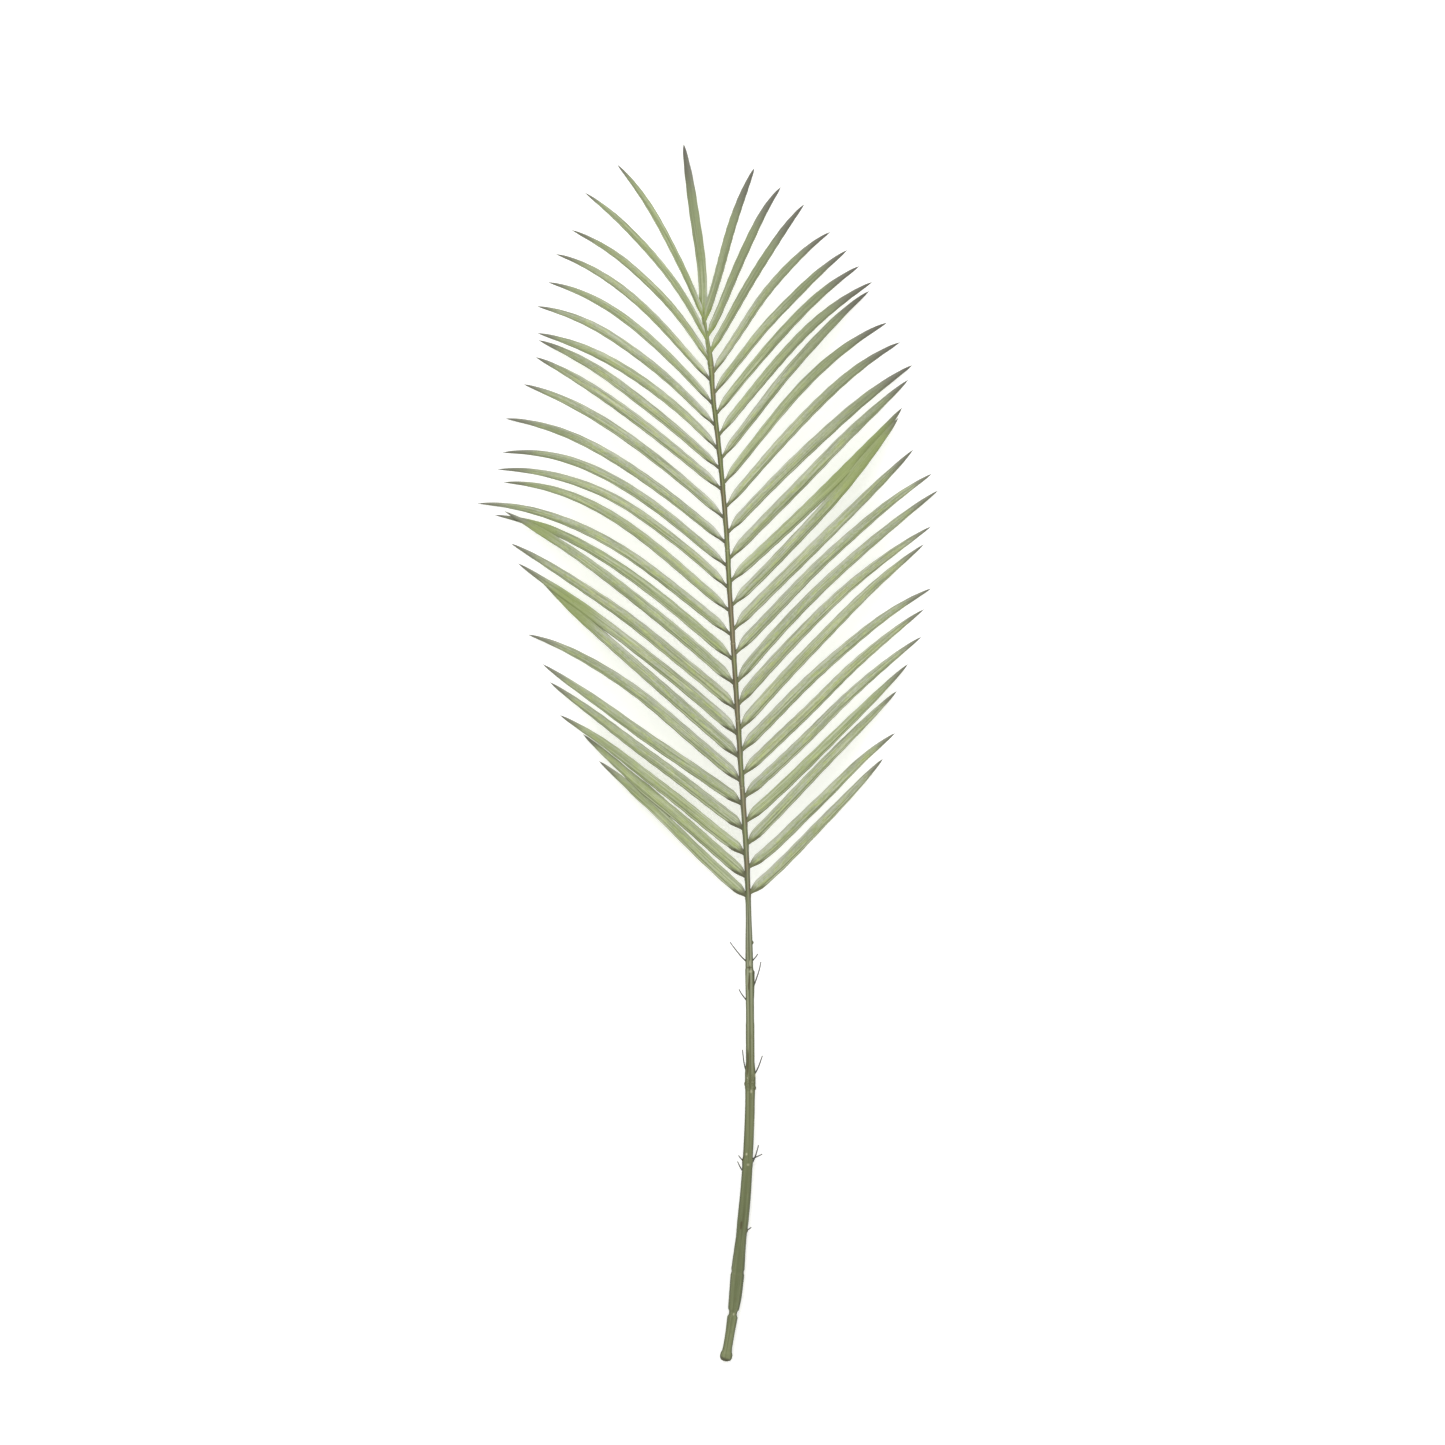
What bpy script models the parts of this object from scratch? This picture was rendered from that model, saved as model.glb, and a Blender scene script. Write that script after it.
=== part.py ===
"""A dried areca palm frond, lying on a flat surface.

The stalk and its rachis are one tapering stem, lofted through a few stations from the cut end to the tip.
Each leaflet is a thin folded blade on a short stalk, sunk into the rachis and fused to it.
The frame has +Y from the cut end to the tip, +X across the frond and +Z up, with the origin on the
surface, under the middle of the frond. All sizes below are in millimetres.
"""

import math

import bmesh
import bpy
import numpy as np
from mathutils import Vector

MM = 0.001

# Middle line of the stem: along the frond, across it, height above the surface
STEM_LINE = (
    (-608, 17.0, 6.2),
    (-578, 22.1, 5.9),
    (-546, 26.6, 5.9),
    (-517, 29.5, 6.2),
    (-469, 34.6, 7.2),
    (-423, 38.5, 8.8),
    (-385, 40.6, 10.4),
    (-330, 41.8, 13.0),
    (-257, 41.4, 16.8),
    (-184, 40.5, 20.6),
    (-122, 39.0, 23.8),
    (-62, 35.6, 26.6),
    (0, 31.5, 29.2),
    (78, 26.6, 31.6),
    (155, 21.6, 32.8),
    (227, 17.5, 32.6),
    (275, 13.5, 31.6),
    (329, 7.7, 29.6),
    (358, 4.5, 28.2),
    (387, 2.4, 26.6),
    (415, -1.6, 24.8),
    (433, -4.5, 23.6),
    (440, -5.6, 23.2),
)

# Width of the stem at each station along it, with the collars and the edge of the sheath as short steps
STEM_WIDTHS = (
    (-608, 9.6),
    (-606, 12.0),
    (-602, 12.1),
    (-599, 9.6),
    (-595, 9.2),
    (-578, 9.9),
    (-565, 10.2),
    (-563, 7.8),
    (-559.5, 7.8),
    (-557.5, 10.8),
    (-546, 12.4),
    (-523, 13.4),
    (-521, 12.2),
    (-519, 12.2),
    (-517, 13.0),
    (-500, 11.4),
    (-485, 10.3),
    (-469, 11.2),
    (-447, 10.8),
    (-423, 10.2),
    (-417, 10.0),
    (-408, 11.0),
    (-405, 9.6),
    (-385, 9.6),
    (-347, 9.4),
    (-338, 9.6),
    (-335, 10.4),
    (-325, 10.4),
    (-321, 10.6),
    (-309, 8.0),
    (-285, 7.7),
    (-272, 7.6),
    (-269, 7.2),
    (-257, 7.2),
    (-239, 8.1),
    (-221, 9.5),
    (-217, 9.1),
    (-215, 7.1),
    (-207, 6.9),
    (-184, 6.3),
    (-168, 5.2),
    (-140, 4.9),
    (-62, 4.9),
    (3, 4.6),
    (78, 4.5),
    (155, 4.4),
    (275, 4.3),
    (358, 4.4),
    (378, 4.9),
    (388, 5.7),
    (398, 4.9),
    (413, 3.6),
    (433, 3.6),
    (440, 3.2),
)
STEM_SIDES = 10
STEM_FLATNESS = 0.95
STEM_AIM_STEP = 1

# The stem lies on a flat between these two stations
REST_FLAT = (-560, -510)

LEFT = -1
RIGHT = 1

# Leaflets from the lowest up: station of the root on the rachis, two points that the middle of the blade
# passes through, the tip, and the height of the tip above the surface
LEFT_LEAFLETS = (
    (-145, (-18.5, -90.5), (-68.5, -42), (-106.5, -9), 12),
    (-126, (-18.5, -74), (-68.5, -32), (-123.5, 16), 7),
    (-103, (-18.5, -57), (-68.5, -16), (-145.5, 38), 5),
    (-78, (-18.5, -35), (-138.5, 55.5), (-156.5, 69), 4),
    (-53, (-18.5, -14.5), (-138.5, 70), (-163.5, 87), 6),
    (-30, (-18.5, 17), (-68.5, 58.5), (-177.5, 118), 0),
    (-6, (-18.5, 39), (-138.5, 146), (-170.0, 176), 10),
    (16.5, (-68.5, 102.5), (-138.5, 155), (-188.5, 188), 4),
    (42, (-68.5, 125), (-138.5, 174.5), (-195.5, 208), 3),
    (67, (-68.5, 151), (-138.5, 202), (-201.5, 240), 9),
    (91.5, (-68.5, 171.5), (-138.5, 215.5), (-211.5, 237), 3),
    (116, (-68.5, 191), (-138.5, 230.5), (-228.5, 249), 0),
    (140, (-68.5, 218), (-138.5, 258.5), (-202.5, 270), 3),
    (163, (-68.5, 239), (-138.5, 273.5), (-208.5, 283), 4),
    (185, (-68.5, 257.5), (-138.5, 293), (-203.5, 300), 3),
    (208, (-68.5, 278.5), (-138.5, 318), (-200.5, 334), 0),
    (232.5, (-68.5, 307), (-138.5, 350.5), (-182.5, 368), 3),
    (261, (-68.5, 331), (-138.5, 379), (-170.5, 395), 5),
    (282, (-68.5, 353), (-138.5, 399.5), (-167.5, 412), 4),
    (304, (-68.5, 375), (-138.5, 410.5), (-168.5, 419), 8),
    (325, (-18.5, 353.5), (-68.5, 398), (-168.5, 447), 5),
    (347, (-18.5, 375.5), (-68.5, 423.5), (-157.5, 471), 4),
    (370, (-18.5, 396.5), (-68.5, 449), (-150.5, 498), 6),
    (391, (-47, 460), (-100.7, 504), (-134.5, 522), 4),
    (412, (-40.5, 481), (-78.5, 522), (-121.5, 559), 5),
    (432, (-31, 496), (-61, 550), (-89.5, 587), 3),
)
RIGHT_LEAFLETS = (
    (-142, (81.5, -102), (151.5, -29.5), (172.5, -8), 5),
    (-116, (81.5, -77), (151.5, -8), (183.5, 19), 6),
    (-93, (81.5, -45.5), (151.5, 26.5), (186.5, 60), 4),
    (-70.5, (81.5, -26.5), (151.5, 42), (197.5, 87), 3),
    (-46, (81.5, 0), (151.5, 68), (210.5, 115), 5),
    (-23, (81.5, 25.5), (151.5, 93), (213.5, 142), 3),
    (0, (81.5, 54), (151.5, 118), (220.5, 163), 0),
    (22, (81.5, 82), (151.5, 154), (213.5, 207), 4),
    (46, (81.5, 109.5), (151.5, 175.5), (220.5, 225), 3),
    (68.5, (81.5, 134), (151.5, 201.5), (227.5, 261), 0),
    (97, (81.5, 159), (151.5, 226), (221.5, 278), 4),
    (121, (81.5, 183), (151.5, 251.5), (202.5, 302), 5),
    (145.5, (81.5, 208), (151.5, 287), (186.5, 335), 12),
    (169.4, (81.5, 228.5), (151.5, 298), (191.5, 344), 3),
    (192, (81.5, 259.5), (151.5, 330), (197.5, 372), 5),
    (218, (81.5, 287), (151.5, 351), (201.5, 387), 0),
    (243.5, (36.5, 271), (111.5, 352.5), (189.5, 409), 3),
    (267.4, (36.5, 300), (111.5, 386), (176.5, 429), 4),
    (292, (36.5, 327), (111.5, 418), (158.5, 461), 3),
    (315, (36.5, 353), (111.5, 435), (161.5, 470), 7),
    (336.5, (36.5, 379), (111.5, 460), (148.5, 486), 4),
    (357, (36.5, 402), (81.5, 453.5), (136.5, 502), 5),
    (377, (36.5, 431), (81.5, 489), (119.5, 520), 4),
    (398, (31, 451), (54.3, 491), (94.5, 547), 5),
    (414, (26.5, 478), (45.1, 521), (71.5, 564), 4),
    (429, (11.5, 483), (25.2, 530), (45.5, 583), 3),
)
END_LEAFLET = (437, (-7.9, 494), (-16.5, 556), (-24.5, 607), 4)

# Blade widths along the frond
BLADE_WIDTHS = ((-142, 12.3), (45, 11.9), (120, 10.6), (250, 9.6), (350, 8.6), (433, 7.2))
END_BLADE_WIDTH = 9.4

# Outline of one blade: distance from its base and share of its width, from the root sunk in the rachis
# through the shoulder, and then share of its length and share of its width, up to the tip
BLADE_ROOT = ((-1.6, 0.0), (9.0, 0.0), (17.0, 0.56), (36.0, 0.82))
BLADE_OUTLINE = ((0.32, 1.0), (0.46, 0.96), (0.58, 0.84), (0.73, 0.64), (0.87, 0.40), (1.0, 0.0))
BLADE_THICKNESS = 0.8
STALK_WIDTH = 2.7
STALK_DEPTH = 2.2
STALK_LIFT = 0.23
TIP_WIDTH = 0.9

# The blade has thinned from its stalk at this share of its width, and its stalk stands off its middle
# line, towards its lower edge, by this share of half its width
THIN_FROM = 0.55
STALK_ASIDE = 0.55

# The midrib stands above both edges, at this share of the width from the lower edge, and the blade
# climbs from its base by this share of its length before it droops
MIDRIB_PLACE = 0.32
UPPER_FOLD = math.tan(math.radians(9))
LOWER_FOLD = math.tan(math.radians(34))
BLADE_CLIMB = 0.16
AIM_STEP = 0.01

# Fibres beside the stalk: root across, root along, tip across, tip along
FIBRES = (
    (38.5, -209, 21.5, -189),
    (42.9, -209, 49.5, -201),
    (43.5, -237, 52.5, -209),
    (39.5, -249, 30.5, -236.5),
    (39.5, -324, 34.1, -297),
    (45.9, -322, 54.0, -303),
    (44.5, -409, 50.2, -392.6),
    (44.3, -406, 54.0, -401.5),
    (36.2, -410, 30.1, -403),
    (35.3, -420, 29.1, -409),
    (37.2, -479, 43.0, -475),
)
FIBRE_WIDTH = 1.2
FIBRE_TIP_WIDTH = 0.7
FIBRE_LIFT = 3.0
FIBRE_CURL = 0.14
FIBRE_ROOT = 2.0
FIBRE_SIDES = 3

# Points of the fused body that lie closer than this are one point
SEAM_MERGE = 0.001

LEAF_COLOUR = (0.36, 0.44, 0.22, 1.0)
LEAF_ROUGHNESS = 0.7


def clear_scene():
    for thing in list(bpy.data.objects):
        bpy.data.objects.remove(thing, do_unlink=True)


def leaf_material():
    material = bpy.data.materials.new("leaf")
    material.use_nodes = True
    shader = material.node_tree.nodes["Principled BSDF"]
    shader.inputs["Base Color"].default_value = LEAF_COLOUR
    shader.inputs["Roughness"].default_value = LEAF_ROUGHNESS
    shader.inputs["Metallic"].default_value = 0.0
    return material


def on_smooth_line(points, place):
    """Reads the smooth curve through the points at a place in their first column."""
    table = np.array(points, dtype=float)
    stations = table[:, 0]
    slopes = np.gradient(table, stations, axis=0)
    i = int(np.clip(np.searchsorted(stations, place) - 1, 0, len(stations) - 2))
    span = stations[i + 1] - stations[i]
    u = (place - stations[i]) / span
    start = table[i] * (1 + 2 * u) * (1 - u) ** 2 + slopes[i] * span * u * (1 - u) ** 2
    end = table[i + 1] * u * u * (3 - 2 * u) + slopes[i + 1] * span * u * u * (u - 1)
    return start + end


def stem_point(along):
    _, across, height = on_smooth_line(STEM_LINE, along)
    return Vector((across, along, height))


def stem_width(along):
    stations, widths = zip(*STEM_WIDTHS)
    return float(np.interp(along, stations, widths))


def loft(name, sections):
    """A closed solid through sections of equal point counts, split into triangles alike all round."""
    count = len(sections[0])
    points = [point * MM for section in sections for point in section]
    faces = []
    for i in range(len(sections) - 1):
        near = i * count
        far = near + count
        for j in range(count):
            k = (j + 1) % count
            faces.append((near + j, near + k, far + k))
            faces.append((near + j, far + k, far + j))
    last = len(points) - count
    for j in range(1, count - 1):
        faces.append((0, j + 1, j))
        faces.append((last, last + j, last + j + 1))
    mesh = bpy.data.meshes.new(name)
    mesh.from_pydata(points, [], faces)
    body = bmesh.new()
    body.from_mesh(mesh)
    bmesh.ops.recalc_face_normals(body, faces=body.faces)
    body.to_mesh(mesh)
    body.free()
    return bpy.data.objects.new(name, mesh)


def stem_section(along):
    """A ring of points across the stem, with one flat side down."""
    middle = stem_point(along)
    ahead = (stem_point(along + STEM_AIM_STEP) - stem_point(along - STEM_AIM_STEP)).normalized()
    sideways = Vector((ahead.y, -ahead.x, 0)).normalized()
    upward = sideways.cross(ahead)
    reach = stem_width(along) / 2
    ring = []
    for i in range(STEM_SIDES):
        turn = 2 * math.pi * (i + 0.5) / STEM_SIDES
        point = middle - upward * reach * STEM_FLATNESS * math.cos(turn) + sideways * reach * math.sin(turn)
        lowest = i in (0, STEM_SIDES - 1)
        if lowest and REST_FLAT[0] <= along <= REST_FLAT[1]:
            point.z = 0
        point.z = max(point.z, 0)
        ring.append(point)
    return ring


def make_stem():
    stations = sorted({row[0] for row in STEM_WIDTHS} | {row[0] for row in STEM_LINE})
    return loft("frond", [stem_section(along) for along in stations])


def blade_section(middle, ahead, distal, width, depth):
    """Six points round the blade: distal edge, midrib and proximal edge, above and then below."""
    sideways = (distal - ahead * distal.dot(ahead)).normalized()
    upward = sideways.cross(ahead)
    if upward.z < 0:
        upward.negate()
    half = width / 2
    rib = width * (0.5 - MIDRIB_PLACE)
    top = (
        middle + sideways * half - upward * (half + rib) * UPPER_FOLD,
        middle - sideways * rib,
        middle - sideways * half - upward * (half - rib) * LOWER_FOLD,
    )
    above = [point + upward * depth / 2 for point in top]
    below = [point - upward * depth / 2 for point in reversed(top)]
    return above + below


def blade_line(base, tip, near, far):
    """The blade's middle line: a bow that passes through two points, and that climbs and then droops."""
    chord = (tip - base).xy
    length = chord.length
    across = Vector((-chord.y, chord.x)).normalized()
    swells = []
    for point in (near, far):
        reach = Vector(point) - base.xy
        share = reach.dot(chord) / length**2
        swells.append((share, reach.dot(across) / (share * (1 - share))))
    (near_share, near_swell), (far_share, far_swell) = swells
    climb = BLADE_CLIMB * length

    def place(share):
        swell = near_swell + (far_swell - near_swell) * (share - near_share) / (far_share - near_share)
        plan = base.xy + chord * share + across * swell * share * (1 - share)
        height = base.z + climb * share - (base.z + climb - tip.z) * share * share
        return Vector((plan.x, plan.y, height))

    return place


def make_leaflet(name, row, side, width, aside):
    """A leaflet from its root, sunk in the rachis, to its tip, with its stalk set aside from its middle."""
    station, near, far, tip_plan, tip_height = row
    root = stem_point(station) - Vector((0, 0, side * STALK_LIFT))
    tip = Vector((*tip_plan, tip_height + BLADE_THICKNESS / 2))
    chord = (tip - root).xy
    across = Vector((-side * chord.y, side * chord.x)).normalized()
    base = root + across.to_3d() * aside
    place = blade_line(base, tip, near, far)
    length = (tip - base).xy.length

    def section(share, full_width, depth, offset):
        ahead = (place(share + AIM_STEP) - place(share - AIM_STEP)).normalized()
        distal = Vector((-side * ahead.y, side * ahead.x, 0)).normalized()
        return blade_section(place(share) - distal * offset, ahead, distal, full_width, depth)

    sections = []
    for distance, widening in BLADE_ROOT:
        thinned = min(1.0, widening / THIN_FROM)
        depth = STALK_DEPTH + (BLADE_THICKNESS - STALK_DEPTH) * thinned
        full_width = max(STALK_WIDTH, width * widening)
        sections.append(section(distance / length, full_width, depth, aside * (1 - widening)))
    for share, taper in BLADE_OUTLINE:
        sections.append(section(share, max(TIP_WIDTH, width * taper), BLADE_THICKNESS, 0.0))
    drop = min(point.z for point in sections[-1]) - tip_height
    sections[-1] = [point - Vector((0, 0, drop)) for point in sections[-1]]
    return loft(name, sections)


def make_leaflets():
    stations, widths = zip(*BLADE_WIDTHS)
    leaflets = []
    for label, side, rows in (("left", LEFT, LEFT_LEAFLETS), ("right", RIGHT, RIGHT_LEAFLETS)):
        for i, row in enumerate(rows):
            width = float(np.interp(row[0], stations, widths))
            aside = STALK_ASIDE * width / 2
            leaflets.append(make_leaflet(f"leaflet_{label}_{i + 1}", row, side, width, aside))
    leaflets.append(make_leaflet("leaflet_end", END_LEAFLET, LEFT, END_BLADE_WIDTH, 0.0))
    return leaflets


def make_fibre(name, row):
    """A thin three-sided hair that grows from the side of the stalk, curls forward and lifts a little."""
    root_across, root_along, tip_across, tip_along = row
    start = Vector((root_across, root_along, stem_point(root_along).z))
    run = Vector((tip_across - root_across, tip_along - root_along, FIBRE_LIFT))
    start -= run.normalized() * FIBRE_ROOT
    run += run.normalized() * FIBRE_ROOT
    sideways = Vector((run.y, -run.x, 0)).normalized()
    outward = math.copysign(1.0, run.x)
    upward = Vector((0, 0, 1))
    sections = []
    for share in (0.0, 0.5, 1.0):
        reach = (FIBRE_WIDTH + (FIBRE_TIP_WIDTH - FIBRE_WIDTH) * share) / 2
        curl = sideways * outward * FIBRE_CURL * run.length * share * (1 - share)
        middle = start + run * share + curl
        ring = []
        for i in range(FIBRE_SIDES):
            turn = 2 * math.pi * i / FIBRE_SIDES
            ring.append(middle + (upward * math.cos(turn) + sideways * math.sin(turn)) * reach)
        sections.append(ring)
    return loft(name, sections)


def fuse(stem, pieces):
    """Joins the pieces to the stem as one closed body, then removes them."""
    group = bpy.data.collections.new("grown_on")
    bpy.context.scene.collection.children.link(group)
    for piece in pieces:
        group.objects.link(piece)
    join = stem.modifiers.new("join", "BOOLEAN")
    join.operation = "UNION"
    join.solver = "MANIFOLD"
    join.operand_type = "COLLECTION"
    join.collection = group
    graph = bpy.context.evaluated_depsgraph_get()
    joined = bpy.data.meshes.new_from_object(stem.evaluated_get(graph))
    stem.modifiers.remove(join)
    body = bmesh.new()
    body.from_mesh(joined)
    bmesh.ops.remove_doubles(body, verts=body.verts, dist=SEAM_MERGE * MM)
    body.to_mesh(joined)
    body.free()
    stem.data = joined
    for piece in pieces:
        bpy.data.objects.remove(piece, do_unlink=True)
    bpy.data.collections.remove(group)


def centre_over_origin(body):
    """Moves the mesh so that the middle of its outline is over the origin."""
    points = [vertex.co for vertex in body.data.vertices]
    middle_x = (min(p.x for p in points) + max(p.x for p in points)) / 2
    middle_y = (min(p.y for p in points) + max(p.y for p in points)) / 2
    for vertex in body.data.vertices:
        vertex.co.x -= middle_x
        vertex.co.y -= middle_y


def main():
    clear_scene()
    stem = make_stem()
    bpy.context.scene.collection.objects.link(stem)
    fibres = [make_fibre(f"fibre_{i + 1}", row) for i, row in enumerate(FIBRES)]
    fuse(stem, make_leaflets() + fibres)
    centre_over_origin(stem)
    stem.data.materials.clear()
    stem.data.materials.append(leaf_material())


main()
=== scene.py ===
"""The look of a dried areca palm frond, lying on a pale floor and seen from above.

The leaflets, the stem and the fibres are fine meshes in place of the plain solid, along the same lines.
The frond is drawn in millimetres, with its middle at MIDDLE, and is moved to the frame at the end.
"""

import math

import bpy
import numpy as np
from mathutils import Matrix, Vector


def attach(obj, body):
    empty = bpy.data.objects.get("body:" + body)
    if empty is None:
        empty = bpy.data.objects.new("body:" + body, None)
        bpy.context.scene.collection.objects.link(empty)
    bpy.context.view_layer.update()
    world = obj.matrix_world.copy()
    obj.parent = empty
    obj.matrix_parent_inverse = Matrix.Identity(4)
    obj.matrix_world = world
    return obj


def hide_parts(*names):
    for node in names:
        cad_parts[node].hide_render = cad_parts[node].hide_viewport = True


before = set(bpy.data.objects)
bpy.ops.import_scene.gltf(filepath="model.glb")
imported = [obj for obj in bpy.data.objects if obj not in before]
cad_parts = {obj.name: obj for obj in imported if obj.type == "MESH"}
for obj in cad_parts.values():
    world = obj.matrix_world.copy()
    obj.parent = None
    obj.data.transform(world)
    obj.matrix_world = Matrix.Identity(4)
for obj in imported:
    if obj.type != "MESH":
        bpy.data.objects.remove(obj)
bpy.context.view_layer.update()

MM = 0.001
NODE = "frond"
BODY = "root"

# The middle of the outline in the drawing, which the frame has over its origin
MIDDLE = (-0.408, -0.816)

# Middle line of the stem: along the frond, across it, height above the surface
STEM_LINE = (
    (-608, 17.0, 6.2), (-578, 22.1, 5.9), (-546, 26.6, 5.9), (-517, 29.5, 6.2), (-469, 34.6, 7.2),
    (-423, 38.5, 8.8), (-385, 40.6, 10.4), (-330, 41.8, 13.0), (-257, 41.4, 16.8), (-184, 40.5, 20.6),
    (-122, 39.0, 23.8), (-62, 35.6, 26.6), (0, 31.5, 29.2), (78, 26.6, 31.6), (155, 21.6, 32.8),
    (227, 17.5, 32.6), (275, 13.5, 31.6), (329, 7.7, 29.6), (358, 4.5, 28.2), (387, 2.4, 26.6),
    (415, -1.6, 24.8), (433, -4.5, 23.6), (440, -5.6, 23.2),
)

# Width of the stem at each station along it, with the collars and the edge of the sheath as short steps
STEM_WIDTHS = (
    (-608, 9.6), (-606, 12.0), (-602, 12.1), (-599, 9.6), (-595, 8.9), (-578, 9.3), (-565, 10.2),
    (-563, 7.8), (-559.5, 7.8), (-557.5, 10.8), (-546, 12.4), (-523, 13.4), (-521, 12.2), (-519, 12.2),
    (-517, 13.0), (-500, 11.4), (-485, 10.3), (-469, 11.2), (-447, 10.8), (-423, 10.2), (-417, 10.0),
    (-408, 11.0), (-405, 9.6), (-385, 9.6), (-347, 9.4), (-338, 9.6), (-335, 10.4), (-325, 10.4),
    (-321, 10.6), (-309, 8.3), (-285, 8.4), (-272, 8.4), (-269, 7.9), (-257, 7.9), (-239, 8.2),
    (-221, 8.2), (-217, 8.1), (-215, 7.5), (-207, 7.5), (-184, 6.7), (-168, 5.6), (-140, 5.1),
    (-62, 5.1), (3, 4.9), (78, 4.8), (155, 4.7), (275, 4.6), (358, 4.4), (378, 4.9), (388, 5.7),
    (398, 4.9), (413, 3.6), (433, 3.6), (438, 3.2), (441, 1.6),
)

# Usual width of the rachis, a little more width for its surface, its height as a share of its width,
# the distance from ring to ring, the points round it, and how far the steps in its width are rounded
STEM_USUAL = 4.9
STEM_SPARE = 0.2
STEM_FLATNESS = 0.95
STEM_STEP = 0.75
STEM_SIDES = 60
STEP_ROUNDING = 0.6

# Grooves along the top of the stem: turn from the top, half-width, depth where it is RIBBED_WIDTH wide.
# They are deep on the rachis only, from above GROOVE_END to below GROOVE_TOP.
GROOVES = ((-0.52, 0.16, 0.34), (0.52, 0.16, 0.30), (0.0, 0.10, -0.12))
RIBBED_WIDTH = 5.0
GROOVE_END = -212
GROOVE_FADE = 10
GROOVE_TOP = 436
GROOVE_TOP_FADE = 20
GROOVE_ON_STALK = 0.25
GROOVE_WIDEST = 1.4

# Fine ribs round the stem: how many, how high, and over what length they drift to the side and back
STEM_RIBS = ((17, 0.035, 61), (29, 0.022, 84), (11, 0.03, 107))
RIB_DRIFT = 0.35
SWELL = 0.10
SWELL_LENGTHS = (23, 41)

# Marks on the stem: station, turn from the top, half-length, half-turn, rise, paleness
# (below zero for a dark mark)
STEM_MARKS = (
    (-189.8, 1.55, 1.6, 0.30, 1.15, -0.9),
    (-210.0, 0.10, 3.4, 0.18, 0.12, 1.3),
    (-200.0, -0.02, 14.0, 0.10, -0.08, -0.7),
    (-214.6, 0.00, 1.1, 1.10, -0.20, -0.9),
    (-218.5, 0.30, 1.5, 0.55, 0.12, 0.9),
    (-226.0, 0.02, 5.0, 0.14, -0.10, -0.8),
    (-230.0, -0.20, 7.5, 0.24, -0.10, -0.75),
    (-233.5, -0.24, 3.4, 0.16, -0.08, -0.9),
    (-228.0, -0.95, 9.0, 0.35, 0.05, 0.5),
    (-322.5, 1.15, 2.0, 0.26, 0.35, 1.2),
    (-325.0, -0.55, 1.4, 0.24, 0.20, 0.9),
    (-331.4, -1.50, 1.7, 0.28, 0.85, -1.3),
    (-335.6, 1.45, 1.6, 0.26, 0.75, -1.3),
    (-331.0, -0.20, 5.0, 0.30, -0.10, -0.5),
    (-338.4, 0.25, 2.2, 0.30, -0.10, 0.8),
    (-310.0, -0.55, 13.0, 0.30, -0.10, -1.2),
    (-401.6, -0.35, 1.4, 0.22, 0.15, 1.1),
    (-405.0, -1.25, 8.0, 0.28, 0.10, -1.1),
    (-403.0, 0.90, 9.0, 0.30, 0.05, 0.4),
    (-412.0, 0.10, 1.5, 0.35, 0.12, 0.7),
    (-473.0, -0.30, 4.0, 0.16, -0.40, -1.4),
    (-466.0, 0.00, 15.0, 0.30, -0.08, -0.4),
    (-478.0, 1.45, 1.6, 0.30, 0.70, -1.1),
    (-520.0, -1.35, 1.4, 0.30, -0.15, -1.0),
    (-520.0, 1.35, 1.4, 0.30, -0.15, -1.0),
    (-561.2, 1.30, 1.8, 0.40, -0.10, -1.0),
    (-562.0, 0.20, 1.6, 0.30, 0.10, 0.8),
    (-561.2, -1.30, 1.8, 0.35, -0.10, -0.7),
)

# The torn edge of a sheath on the right of the stalk: its sharp top, where it has faded away, turn
# from the top, half-turn and rise
FLAP = (-217.5, -247, 1.45, 0.32, 1.15)
FLAP_FADING = 0.7
FLAP_DARKNESS = 1.1

# How far the middle of the cut end stands out, and over what length
RIM_BULGE = 1.3
RIM_LENGTH = 5.0

# Rings of the cut face from its middle out: share of the rim's size, how far it is sunk; and its tone
CUT_RINGS = ((0.25, 0.8), (0.5, 0.75), (0.74, 0.5), (0.90, 0.05))
CUT_BELOW = 1.0
CUT_MARK = -0.2

# Swelling where a leaflet leaves the rachis: rise, half-length, turn, half-turn, share on the fresh top.
# Dark spot in the axil: how far above the leaflet, half-length, turn, half-turn, darkness.
JOINT = (0.45, 3.4, 1.25, 0.6, 0.4)
AXIL = (4.6, 2.0, 1.2, 0.5, 0.8)

# Rings round the rachis, as worn edges of old sheaths: a dark groove and a pale lip below it
RACHIS_RINGS = (387, 204, 111, 34, -33)
RING_DEPTH = 0.16
RING_WIDTH = 0.9
RING_TILT = 0.8
RING_DARKNESS = 0.5
LIP_BELOW = 2.2
LIP_MIDDLE = 2.0
LIP_PALENESS = 0.6

# Sides of the rachis, and its end
LEFT = -1
RIGHT = 1
END = 0

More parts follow.
